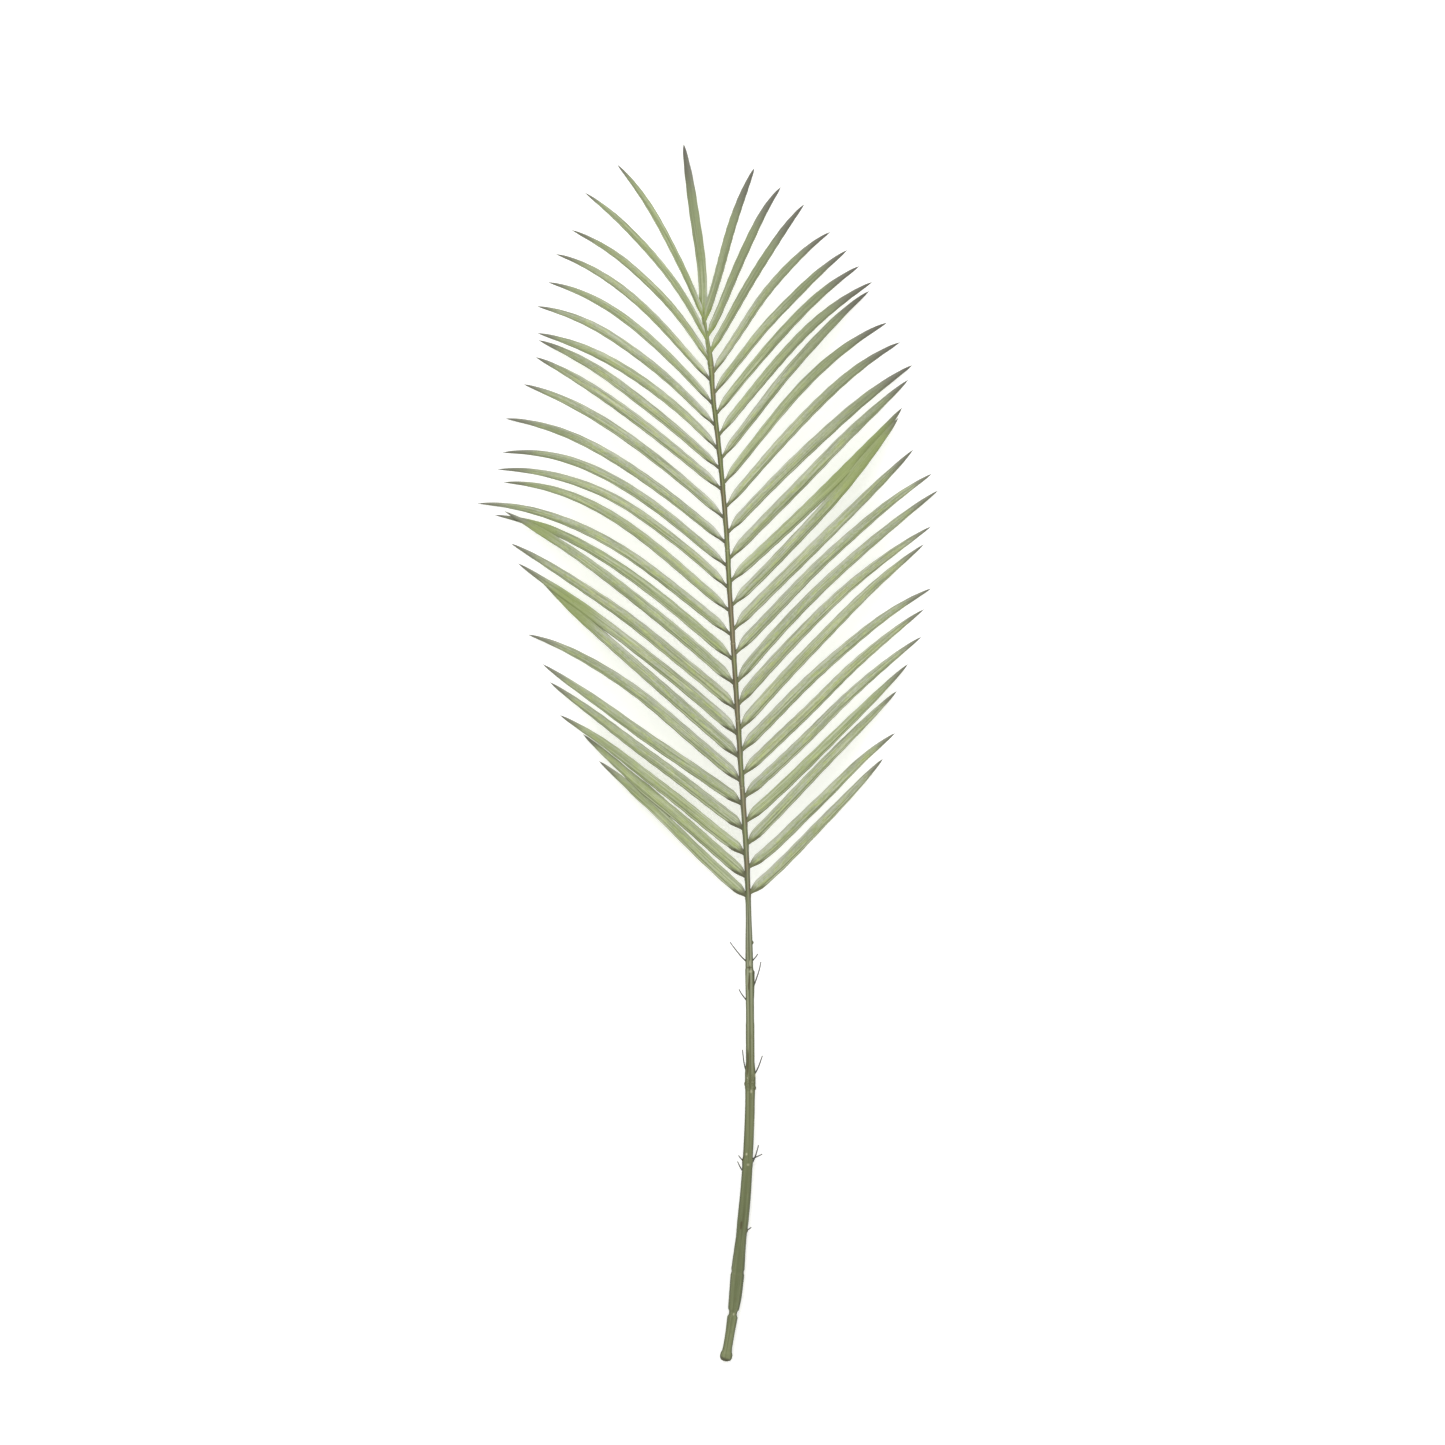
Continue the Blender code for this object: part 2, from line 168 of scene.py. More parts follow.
# Leaflets from the lowest up: station of the root on the rachis, two points that the middle of the blade
# passes through, the tip, and the height of the tip above the surface
LEFT_LEAFLETS = (
    (-145, (-18.5, -90.2), (-68.5, -42.8), (-107.3, -10.2), 12),
    (-126, (-18.5, -74), (-68.5, -31), (-123.2, 16.6), 7),
    (-103, (-18.5, -57), (-68.5, -17), (-146.4, 36.0), 5),
    (-78, (-43.5, -14.5), (-138.5, 56.2), (-156.5, 69), 4),
    (-53, (-68.5, 21), (-138.5, 70), (-163.5, 87), 6),
    (-30, (-18.5, 17), (-68.5, 58.2), (-178, 116.8), 0),
    (-6, (-43.5, 62), (-138.5, 146.9), (-170.0, 176), 10),
    (16.5, (-68.5, 102.5), (-138.5, 154.3), (-188.5, 188), 4),
    (42, (-68.5, 125), (-138.5, 174.5), (-195.5, 208), 3),
    (67, (-68.5, 151), (-138.5, 202.6), (-201.5, 240), 9),
    (91.5, (-68.5, 171.5), (-138.5, 214.9), (-211.5, 237), 3),
    (116, (-68.5, 191), (-138.5, 230.5), (-228.5, 249), 0),
    (140, (-68.5, 218), (-138.5, 258.5), (-202.5, 270), 3),
    (163, (-68.5, 239), (-138.5, 273.5), (-208.5, 283), 4),
    (185, (-68.5, 257.5), (-138.5, 293), (-203.5, 300), 3),
    (208, (-68.5, 278.5), (-138.5, 318), (-200.5, 334), 0),
    (232.5, (-68.5, 307), (-138.5, 350.5), (-182.5, 368), 3),
    (261, (-68.5, 331), (-138.5, 379), (-170.5, 395), 5),
    (282, (-68.5, 353), (-138.5, 399.5), (-167.5, 412), 4),
    (301, (-68.5, 374), (-138.5, 410.5), (-168.5, 419), 8),
    (325, (-18.5, 353.5), (-68.5, 397.3), (-169, 446), 5),
    (346, (-18.5, 375), (-68.5, 423), (-158, 470), 4),
    (370, (-18.5, 396.5), (-68.5, 449), (-150.5, 498), 6),
    (389, (-48.3, 458.7), (-100.7, 504), (-134.5, 522), 4),
    (410, (-41.3, 480), (-78.2, 522.6), (-121.5, 559), 5),
    (432, (-31, 496), (-61, 550), (-89.5, 587), 3),
)
RIGHT_LEAFLETS = (
    (-142, (81.5, -102), (151.5, -29.5), (172.5, -8), 5),
    (-116, (81.5, -77), (151.5, -8.5), (184.5, 18), 6),
    (-93, (81.5, -45.5), (151.5, 26.5), (186.5, 60), 4),
    (-70.5, (81.5, -26.5), (151.5, 42), (197.5, 87), 3),
    (-46, (81.5, 0), (151.5, 67.3), (211, 114.5), 5),
    (-23, (81.5, 25.5), (151.5, 93), (213.5, 142), 3),
    (0, (81.5, 54), (151.5, 118), (220.5, 163), 0),
    (22, (81.5, 82), (151.5, 154), (213.5, 207), 4),
    (46, (81.5, 109.5), (151.5, 175.5), (220.5, 225), 3),
    (68.5, (81.5, 134), (151.5, 201.5), (227.5, 261), 0),
    (97, (81.5, 159), (151.5, 226), (221.5, 278), 4),
    (121, (81.5, 183), (151.5, 251.5), (202.5, 302), 5),
    (145.5, (81.5, 208), (151.5, 287.8), (187.6, 333.4), 12),
    (169.4, (81.5, 228.5), (151.5, 298), (191.5, 344), 3),
    (192, (81.5, 259.5), (151.5, 330), (197.5, 372), 5),
    (218, (81.5, 287), (151.5, 351), (201.5, 387), 0),
    (243.5, (36.8, 270.4), (111.5, 352.5), (189.5, 410), 3),
    (267.4, (37, 299.3), (112, 385), (176.5, 429.5), 4),
    (292, (36.5, 327), (111.5, 418), (158.5, 461), 3),
    (315, (36.5, 353), (111.5, 435), (161.5, 470), 7),
    (336.5, (37.2, 378.4), (112, 459.5), (148.5, 486), 4),
    (357, (36.5, 402), (81.5, 453.5), (136.5, 502), 5),
    (377, (36.5, 431), (81.5, 489), (119.5, 520), 4),
    (398, (31, 451), (54.3, 491), (94.5, 547), 5),
    (414, (26.5, 478), (45.1, 521), (71.5, 564), 4),
    (429, (11.5, 483), (25.2, 530), (45.5, 583), 3),
)
END_LEAFLET = (437, (-7.9, 494), (-16.5, 556), (-24.5, 607), 4)

# Where one blade lies on another, painted as shade in a deeper green where less light comes through two
# layers:
# side, count from the lowest, middle of the lap and its half-length as shares of the blade's length, and how
# much greener it is
LAPS = (
    (RIGHT, 13, 0.78, 0.24, 1.0),
    (RIGHT, 14, 0.74, 0.25, 1.0),
    (LEFT, 7, 0.81, 0.11, 0.9),
    (LEFT, 8, 0.75, 0.13, 0.9),
    (LEFT, 10, 0.86, 0.065, 0.9),
    (LEFT, 11, 0.84, 0.065, 0.9),
    (LEFT, 1, 0.75, 0.08, 0.30),
    (LEFT, 2, 0.62, 0.07, 0.30),
)
LAP_WIDENING = 0.17

# Share of the length from which a tip has turned grey, with its spread; less on the right side from the
# UPPER_COUNT on, and least from the TOP_COUNT on and on the end leaflet
GREY_FROM = 0.88
GREY_SPREAD = 0.03
GREY_UPPER = 0.78
UPPER_COUNT = 16
GREY_TOP = 0.66
TOP_COUNT = 24

# How dark a blade's lower half (painted shade on its steep lower face) and its outer part are, and how pale
# its
# shoulder: at least, and how much more on the upper leaflets
SHADE_AND_DARK_LEAST = 0.25
SHADE_AND_DARK_RISE = {LEFT: 0.35, RIGHT: 0.75, END: 0.75}
PALE_LEAST = 0.20
PALE_RISE = {LEFT: 0.60, RIGHT: 0.20, END: 0.20}

# Greatest width of a blade by station of its root, on either side
LEFT_WIDTHS = (
    (-145, 11.2), (40, 11.6), (92, 10.3), (163, 9.1), (260, 9.9), (304, 8.8), (391, 7.2), (432, 6.9),
)
RIGHT_WIDTHS = ((-142, 10.8), (218, 11.2), (243, 10.1), (336, 9.4), (377, 8.5), (429, 8.9))
END_BLADE_WIDTH = 9.8

# Length of the tapered root of a blade by station, as a share of the longest
ROOT_SCALES = ((-146, 0.68), (0, 0.84), (120, 1.0), (320, 1.0), (400, 0.74))

# Outline of a blade: distance from its base and share of its width up to the shoulder, and then share
# of its length, share of its width on the lower leaflets, and on the upper ones
BLADE_ROOT = ((0.6, 0.12), (4.5, 0.20), (8.5, 0.42), (12.5, 0.69), (16.5, 0.87))
SHOULDER_LENGTH = 22.0
BLADE_OUTLINE = (
    (0.20, 1.0, 0.88), (0.35, 0.98, 0.97), (0.50, 0.93, 1.0), (0.65, 0.85, 0.97), (0.80, 0.70, 0.82),
    (0.90, 0.50, 0.58), (0.96, 0.30, 0.36), (0.99, 0.12, 0.14), (1.00, 0.0, 0.0),
)

# Share of the width at the shoulder, and stations between which lower leaflets turn into upper ones
LOWER_SHOULDER = 0.98
UPPER_SHOULDER = 0.83
UPPER_FROM = 50
UPPER_TO = 250

# How far a blade lies towards the upper side of its drawn middle line, by station of its root
LEFT_SHIFTS = ((-145, -0.2), (60, -0.1), (110, -0.7), (432, -0.6))
RIGHT_SHIFTS = ((-142, -0.5), (90, -0.6), (120, -1.0), (377, -1.1), (398, 0.0), (429, 0.4))
END_SHIFTS = ((0, 0.0),)
TIP_SHIFT = 0.8
TIP_REACH = 2.5

# Thickness of a blade, the share by which it thins from THIN_FROM of its length to the tip, its least
# width, and the share of its full width below which the ribs fade
BLADE_THICKNESS = 0.50
TIP_THINNING = 0.45
THIN_FROM = 0.6
TIP_WIDTH = 0.55
TAPER_SHARE = 0.5

# Stalk of a leaflet: its section, its wider foot, where it turns into the blade, how its end sinks in
# the rachis, and how much higher the left stalks begin, and lower the right ones
STALK_WIDTH = 2.7
STALK_DEPTH = 2.2
STALK_FLARE = 1.5
FLARE_LENGTH = 8.0
FLARE_DEPTH = 0.6
FLARE_SHIFT = 0.3
STALK_END = 4.5
STALK_FADE = 9.0
SINK_LENGTH = 2.2
SINK_LEAST = 0.3
STALK_LIFT = 0.23

# How round the section is: 2 is an ellipse, and higher numbers are squarer
STALK_ROUNDNESS = 2
BLADE_SQUARENESS = 10

# Stations between which the top of the rachis turns fresh, and from which it is quite green
FRESH_FROM = 375
FRESH_TO = 402
GREEN_FROM = 420

# Place of the midrib as a share of the width, slopes on either side of it and the rounding between
# them, and how steeply a blade climbs before it droops
MIDRIB_AT_BASE = 0.27
MIDRIB_AT_TIP = 0.14
UPPER_FOLD = math.tan(math.radians(9))
LOWER_FOLD = math.tan(math.radians(42))
FOLD_ROUNDING = 0.10
BLADE_CLIMB = 0.16

# How far each stalk stands off the blade's middle line, by station, as a share of half the width
STALK_ASIDE = ((-146, 0.10), (-118, 0.22), (-70, 0.34), (440, 0.34))

# Ribs along the blade: height of the midrib, its half-width and how much more it shows below; and
# the others, by place from the lower edge (-1) to the upper one (1), half-width and height
MIDRIB_HEIGHT = 0.24
MIDRIB_SPREAD = 0.07
MIDRIB_BELOW = 0.4
SIDE_RIBS = (
    (-0.72, 0.05, 0.07), (-0.05, 0.05, 0.06), (0.24, 0.05, 0.09), (0.52, 0.05, 0.06),
    (0.78, 0.04, 0.07),
)

# Points across the upper face of a blade, closer together at the midrib and at the edges
ACROSS = (
    -1.0, -0.985, -0.93, -0.84, -0.72, -0.60, -0.50, -0.44, -0.40, -0.36, -0.30, -0.20, -0.05,
    0.10, 0.24, 0.38, 0.52, 0.66, 0.78, 0.88, 0.95, 0.987, 1.0,
)
ACROSS_RIDGE = -0.40

# Rings of points along a leaflet: evenly over the first ROOT_LENGTH, then closer towards the tip
ROOT_RINGS = 30
ROOT_LENGTH = 38.0
BLADE_RINGS = 74
RING_CROWDING = 1.25

# Small differences between one leaflet and the next: waves of its edges and of its width, its twist,
# and how far it sways to the side
SEED = 11
WAVE_HEIGHT = (0.25, 0.7)
WAVE_COUNT = (2.0, 5.0)
RIPPLE_RISE = 5
WIDTH_WAVE = 0.025
WIDTH_WAVES = 3.3
TWIST = math.radians(7)
TWIST_COUNT = (0.8, 2.0)
SWAY = 0.35
SWAY_COUNT = (0.8, 2.2)
SWAY_RISE = 4

# Fibres beside the stalk: root across, root along, tip across, tip along
FIBRES = (
    (38.5, -209, 21.5, -189),
    (42.9, -209, 49.5, -201),
    (43.5, -237, 52.5, -209),
    (39.5, -249, 30.5, -236.5),
    (39.5, -324, 34.1, -297),
    (45.9, -322, 54.0, -303),
    (44.5, -409, 50.2, -392.6),
    (44.3, -406, 54.0, -401.5),
    (36.2, -410, 30.1, -403),
    (35.3, -420, 29.1, -409),
    (37.2, -479, 43.0, -475),
)
FIBRE_THICKNESS = 1.5
FIBRE_TIP_THICKNESS = 1.0
FIBRE_LIFT = 3.0
FIBRE_CURL = 0.14
FIBRE_WAVE = 0.02
FIBRE_WAVES = 7
FIBRE_SINK = 2.0
FIBRE_SIDES = 8
FIBRE_RINGS = 26

# Camera: size and middle of the picture and height of the plane that they lie in, all in millimetres,
# its own height and reach in metres, and its sensor in millimetres
VIEW_SIZE = 1445
VIEW_MIDDLE = (14.1, 30.2)
VIEW_PLANE = 18.0
CAMERA_HEIGHT = 8.0
CLIP_END = 50
SENSOR = 36.0

# Floor and light
FLOOR_SIZE = 16.0
FLOOR_GAP = 0.0002
FLOOR_COLOUR = (244, 244, 242)
FLOOR_DARKER = (242, 242, 240)
FLOOR_GLOW = 0.36
SKY_STRENGTH = 0.92
LAMP_ENERGY = 52.0
LAMP_SIZE = 3.0
LAMP_PLACE = (-0.5, 2.4, 3.0)

# Leaflets: values that each point carries; noises by stretch along and across and detail, which each
# leaflet reads at a place of its own; tints by value, where they begin and are full, share and colour
LEAF_VALUES = "along across ridge reach offset seed lap grey left under dusk pale fresh".split()
LEAF_NOISES = {
    "broad": (0.035, 0.14, 2.0),
    "mottle": (0.30, 0.75, 3.0),
    "hue": (0.10, 0.42, 4.0),
    "veins": (0.035, 3.4, 2.0),
    "streaks": (0.018, 1.25, 2.0),
    "grain": (1.2, 5.0, 4.0),
}
SEED_SPREAD = 83.0
LEAF_TONES = (
    (0.30, (148, 158, 122)), (0.48, (165, 172, 140)), (0.60, (168, 176, 130)), (0.74, (176, 181, 132)),
)
LEAF_PATCHES = (
    ("mottle", 0.46, 0.66, 0.50, (188, 193, 166)),
    ("mottle", 0.50, 0.32, 0.66, (148, 161, 100)),
    ("hue", 0.52, 0.64, 0.60, (178, 192, 112)),
    ("hue", 0.48, 0.36, 0.55, (156, 160, 150)),
    # the pale upper part of the blade is partly its own colour and partly painted light on the flatter upper
    # half
    ("margin", 0.0, 0.85, 0.62, (184, 186, 172)),
    ("margin", 0.72, 1.0, 0.60, (156, 154, 146)),
    ("ridge", 0.30, -0.04, 0.55, (156, 166, 118)),
    ("green", 0.35, 1.0, 0.42, (150, 166, 104)),
)
LEAF_LINES = (
    # painted shade: a dark line along the lower edge, where the steep lower half turns from the light
    ("across", -0.82, -0.97, 0.90, (84, 90, 60)),
    ("streaks", 0.51, 0.64, 0.42, (124, 136, 90)),
    ("streaks", 0.46, 0.34, 0.42, (204, 208, 180)),
    ("veins", 0.53, 0.66, 0.40, (120, 132, 84)),
    ("grain", 0.46, 0.30, 0.40, (198, 204, 172)),
)

# Stem: its colours by station, noises by place, stretch along and round, and detail, and tints
TONES_FROM = -610
TONES_TO = 440
STEM_TONES = (
    (-589, (124, 131, 90)), (-547, (106, 114, 76)), (-463, (100, 108, 70)), (-368.5, (115, 121, 80)),
    (-316, (108, 112, 72)), (-253, (120, 126, 88)), (-169, (120, 124, 102)), (-64, (130, 132, 106)),
    (41, (120, 108, 86)), (104, (126, 114, 94)), (151.25, (124, 106, 86)), (172.25, (124, 138, 78)),
    (203.75, (130, 142, 84)), (221.6, (112, 102, 72)), (261.5, (106, 108, 68)), (335, (108, 120, 62)),
    (387.5, (134, 147, 82)), (440, (150, 166, 90)),
)
STEM_NOISES = {
    "streaks": (0.0, 0.02, 4.0, 3.0),
    "mottle": (3.0, 0.16, 1.4, 3.0),
    "grain": (7.0, 0.9, 9.0, 4.0),
    "patch": (11.0, 0.030, 0.35, 1.0),
    "speckle": (19.0, 0.6, 4.0, 3.0),
}
STEM_STREAKS = (
    ("streaks", 0.52, 0.70, 0.42, (88, 92, 60)),
    ("streaks", 0.44, 0.30, 0.36, (164, 168, 128)),
    ("mottle", 0.56, 0.75, 0.32, (104, 94, 62)),
)
STEM_MARK_TONES = (("mark", -0.1, -1.0, 0.85, (78, 70, 42)), ("mark", 0.15, 1.1, 0.85, (204, 202, 168)))
CUT_TONES = (("rim", -604.4, -606.6, 0.85, (66, 64, 42)), ("station", -608.2, -608.9, 0.9, (150, 136, 96)))


def from_srgb(colour):
    """A colour given as three numbers from 0 to 255 on screen, as light values."""
    shares = np.array(colour, dtype=float) / 255
    low = shares / 12.92
    high = ((shares + 0.055) / 1.055) ** 2.4
    return tuple(np.where(shares <= 0.04045, low, high)) + (1.0,)


def curve(table, slopes, places):
    """The curve through the rows of a table at places in its first column, with the slopes given."""
    stations = table[:, 0]
    places = np.atleast_1d(np.asarray(places, dtype=float))
    i = np.clip(np.searchsorted(stations, places) - 1, 0, len(stations) - 2)
    span = (stations[i + 1] - stations[i])[:, None]
    u = (places - stations[i])[:, None] / span
    start = table[i] * (1 + 2 * u) * (1 - u) ** 2 + slopes[i] * span * u * (1 - u) ** 2
    end = table[i + 1] * u * u * (3 - 2 * u) + slopes[i + 1] * span * u * u * (u - 1)
    return (start + end)[:, 1:]


def smooth_line(points, places):
    """The smooth curve through the points."""
    table = np.array(points, dtype=float)
    return curve(table, np.gradient(table, table[:, 0], axis=0), places)


def level_line(points, places):
    """The curve through the points that never swings past them, in one value."""
    table = np.array(points, dtype=float)
    rates = np.diff(table[:, 1]) / np.diff(table[:, 0])
    slopes = np.concatenate((rates[:1], np.zeros(len(rates) - 1), rates[-1:]))
    for k, (before, after) in enumerate(zip(rates, rates[1:]), 1):
        if before * after > 0:
            slopes[k] = 2 * before * after / (before + after)
    return curve(table, slopes[:, None], places)[:, 0]


def clamp(value):
    return np.clip(value, 0, 1)


def read(table, station):
    """One value of a table, read at a station along it in straight lines."""
    return float(np.interp(station, *zip(*table)))


def bell(value, middle, spread):
    return np.exp(-(((value - middle) / spread) ** 2))


def plateau(value, middle, spread):
    return np.exp(-(((value - middle) / spread) ** 4))


def unit(vectors):
    return vectors / np.linalg.norm(vectors, axis=-1, keepdims=True)


def stem_points(stations):
    """Middle of the stem at each station."""
    plan = smooth_line(STEM_LINE, stations)
    return np.column_stack((plan[:, 0], np.atleast_1d(stations), plan[:, 1]))


def stem_widths(stations):
    """Width of the stem at each station, with the steps a little rounded."""
    table = np.array(STEM_WIDTHS, dtype=float)
    offsets = np.linspace(-2, 2, 9)
    weights = bell(offsets, 0.0, 1.0)
    total = np.zeros(len(stations))
    for offset, weight in zip(offsets, weights):
        total += weight * np.interp(stations + offset * STEP_ROUNDING, table[:, 0], table[:, 1])
    return total / weights.sum()


def build_mesh(name, points, faces, values):
    """A mesh with the points in millimetres of the drawing and named values at its points."""
    placed = (np.asarray(points, dtype=float) - (MIDDLE[0], MIDDLE[1], 0.0)) * MM
    mesh = bpy.data.meshes.new(name)
    mesh.vertices.add(len(placed))
    mesh.vertices.foreach_set("co", placed.ravel())
    counts = np.array([len(face) for face in faces])
    corners = np.concatenate([np.asarray(face) for face in faces])
    mesh.loops.add(len(corners))
    mesh.loops.foreach_set("vertex_index", corners)
    mesh.polygons.add(len(counts))
    mesh.polygons.foreach_set("loop_start", np.concatenate(([0], np.cumsum(counts)[:-1])))
    mesh.update(calc_edges=True)
    for key, numbers in values.items():
        attribute = mesh.attributes.new(key, "FLOAT", "POINT")
        attribute.data.foreach_set("value", np.asarray(numbers, dtype=np.float32))
    mesh.shade_smooth()
    mesh.validate()
    return mesh


def tube_faces(rings, around, first=0):
    """Quads between closed rings of points, with a face over each end."""
    faces = []
    for i in range(rings - 1):
        near = first + i * around
        far = near + around
        for j in range(around):
            k = (j + 1) % around
            faces.append((near + j, near + k, far + k, far + j))
    faces.append(tuple(first + j for j in reversed(range(around))))
    faces.append(tuple(first + (rings - 1) * around + j for j in range(around)))
    return faces


def add_piece(name, mesh, material):
    """Puts a finished mesh in the scene as a piece of the frond."""
    mesh.materials.append(material)
    piece = bpy.data.objects.new(name, mesh)
    bpy.context.scene.collection.objects.link(piece)
    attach(piece, BODY)
    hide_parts(NODE)
    return piece


def leaflet_rings(length):
    """Distances from the base at which a leaflet has a ring of points."""
    root = np.linspace(BLADE_ROOT[0][0], ROOT_LENGTH, ROOT_RINGS)
    shares = 1 - (1 - np.linspace(0, 1, BLADE_RINGS + 1)[1:]) ** RING_CROWDING
    return np.concatenate((root, ROOT_LENGTH + (length - ROOT_LENGTH) * shares))


def blade_line(base, tip, near, far, shares):
    """The blade's middle line: a bow that passes through two points, and that climbs and then droops."""
    chord = (tip - base)[:2]
    length = np.linalg.norm(chord)
    across = np.array((-chord[1], chord[0])) / length
    swells = []
    for point in (near, far):
        reach = np.array(point) - base[:2]
        share = reach.dot(chord) / length**2
        swells.append((share, reach.dot(across) / (share * (1 - share))))
    (near_share, near_swell), (far_share, far_swell) = swells
    climb = BLADE_CLIMB * length
    swell = near_swell + (far_swell - near_swell) * (shares - near_share) / (far_share - near_share)
    bow = swell * shares * (1 - shares)
    plan = base[:2] + chord * shares[:, None] + across * bow[:, None]
    height = base[2] + climb * shares - (base[2] + climb - tip[2]) * shares**2
    return np.column_stack((plan, height))


def fold_shape(across, rib):
    """Height of the folded blade over its width, as a share of half the width, with a rounded ridge."""
    away = across - rib
    mean = (UPPER_FOLD + LOWER_FOLD) / 2
    lean = (UPPER_FOLD - LOWER_FOLD) / 2
    return -mean * (np.sqrt(away**2 + FOLD_ROUNDING**2) - FOLD_ROUNDING) - lean * away


def wave(count, shares, start):
    """A wave that rises and falls count times over the length."""
    return np.sin(2 * math.pi * (count * shares + start))


def upper_share(station):
    """How far a leaflet belongs to the upper ones, from 0 to 1."""
    return float(clamp((station - UPPER_FROM) / (UPPER_TO - UPPER_FROM)))


def fresh_share(station):
    """How fresh and green the rachis is, from 0 to 1."""
    return float(clamp((station - FRESH_FROM) / (FRESH_TO - FRESH_FROM)))


def blade_outline(station, length):
    """Share of the full width at shares of the length, between the lower and the upper leaflets' outlines."""
    upper = upper_share(station)
    shoulder = LOWER_SHOULDER + (UPPER_SHOULDER - LOWER_SHOULDER) * upper
    scale = read(ROOT_SCALES, station)
    start = BLADE_ROOT[0][0]
    outline = []
    for place, share in BLADE_ROOT:
        outline.append(((start + (place - start) * scale) / length, share * shoulder))
    outline.append((SHOULDER_LENGTH * scale / length, shoulder))
    for share, low, high in BLADE_OUTLINE:
        outline.append((share, low + (high - low) * upper))
    return outline


def blade_middle(row, side, aside, draw):
    """The middle line of a blade, the distances of its rings from the base, and its length."""
    station, near, far, tip_plan, tip_height = row
    root = stem_points(np.array([station]))[0] - (0, 0, side * STALK_LIFT)
    tip = np.array((*tip_plan, tip_height + BLADE_THICKNESS / 2))
    chord = (tip - root)[:2]
    distal = side * np.array((-chord[1], chord[0])) / np.linalg.norm(chord)
    base = root + np.array((*distal, 0)) * aside
    near, far = (np.array(point) + distal * draw["shift"] for point in (near, far))
    tip[:2] += distal * draw["shift"] * TIP_SHIFT + unit(chord) * TIP_REACH
    length = np.linalg.norm((tip - base)[:2])
    distances = leaflet_rings(length)
    return blade_line(base, tip, near, far, distances / length), distances, length


def blade_axes(middle, distances, side):
    """Directions across the blade, towards its upper edge, and up from it, at each ring."""
    ahead = unit(np.gradient(middle, distances, axis=0))
    outward = side * np.column_stack((-ahead[:, 1], ahead[:, 0], np.zeros(len(ahead))))
    outward = unit(outward - ahead * (outward * ahead).sum(1, keepdims=True))
    upward = unit(np.cross(outward, ahead))
    return outward, upward * np.sign(upward[:, 2:3])


def blade_sizes(station, width, distances, length, draw):
    """Measures of a leaflet at each ring: its width and depth, and what its stalk and its laps add."""
    shares = distances / length
    outline = blade_outline(station, length)
    full_share, full_width = outline[len(BLADE_ROOT) + 1]
    widening = clamp(level_line(outline, shares))
    blade = clamp((distances - STALK_END) / STALK_FADE)
    blade = blade * blade * (3 - 2 * blade)
    slim = min(1.0, stem_widths(np.array([station]))[0] / STEM_USUAL)
    from_root = distances - BLADE_ROOT[0][0]
    sunk = np.clip(from_root / SINK_LENGTH, SINK_LEAST, 1)
    flare = slim * STALK_FLARE * clamp(1 - from_root / FLARE_LENGTH) ** 2

    lap, green = np.zeros(len(shares)), np.zeros(len(shares))
    for place, reach, lap_shade in draw["laps"]:
        covered = bell(shares, place, reach)
        lap += covered
        green += covered * lap_shade
    full = np.hypot((slim * STALK_WIDTH + flare) * (1 - blade), width * widening)
    full = np.maximum(full, TIP_WIDTH) * sunk
    uneven = WIDTH_WAVE * wave(WIDTH_WAVES * draw["waves"], shares, draw["seed"])
    full *= 1 + LAP_WIDENING * lap + uneven * blade
    depth = (slim * STALK_DEPTH + FLARE_DEPTH * flare) * sunk * (1 - blade) + BLADE_THICKNESS * blade
    depth *= 1 - TIP_THINNING * clamp((shares - THIN_FROM) / (1 - THIN_FROM))
    attached = clamp(1 - widening / full_width) * (shares < full_share)
    sizes = {"full": full, "depth": depth, "blade": blade, "flare": flare}
    return sizes | {"attached": attached, "green": green}


def section_places(shares):
    """Places of a ring's points across the blade, the place of the midrib, and 1 above or -1 below."""
    half_ring = np.array(ACROSS)
    ring = np.concatenate((half_ring, half_ring[-2:0:-1]))
    above = np.concatenate((np.ones(len(half_ring)), -np.ones(len(half_ring) - 2)))
    rib = (2 * (MIDRIB_AT_BASE + (MIDRIB_AT_TIP - MIDRIB_AT_BASE) * shares) - 1)[:, None]
    below_ridge = -1 + (ring + 1) * (rib + 1) / (ACROSS_RIDGE + 1)
    above_ridge = 1 - (1 - ring) * (1 - rib) / (1 - ACROSS_RIDGE)
    return np.where(ring < ACROSS_RIDGE, below_ridge, above_ridge), rib, above


def blade_lift(places, shares, width, sizes, draw):
    """Height of each point over the middle line: the fold, the thickness, the ribs, waves and twist."""
    across, rib, above = places
    half = (sizes["full"] / 2)[:, None]
    blade = sizes["blade"][:, None]
    roundness = STALK_ROUNDNESS + BLADE_SQUARENESS * blade
    thickness = sizes["depth"][:, None] * np.sqrt(clamp(1 - np.abs(across) ** roundness))
    ribs = MIDRIB_HEIGHT * bell(across, rib, MIDRIB_SPREAD) * (1 + MIDRIB_BELOW * (above < 0)) * above
    for place, spread, height in SIDE_RIBS:
        ribs = ribs + height * bell(across, place, spread)
    taper = clamp(sizes["full"] / (TAPER_SHARE * width))[:, None] * blade
    ripple = draw["wave"] * wave(draw["waves"], shares, draw["phase"])
    ripple *= clamp(RIPPLE_RISE * shares * (1 - shares))
    away = across - rib
    twist = draw["twist"] * np.sin(math.pi * draw["turns"] * shares)
    return (
        fold_shape(across, rib) * half * blade
        + above * thickness / 2
        + ribs * taper
        + ripple[:, None] * away * np.abs(away) * blade
        + np.sin(twist[:, None] * blade) * across * half
    )


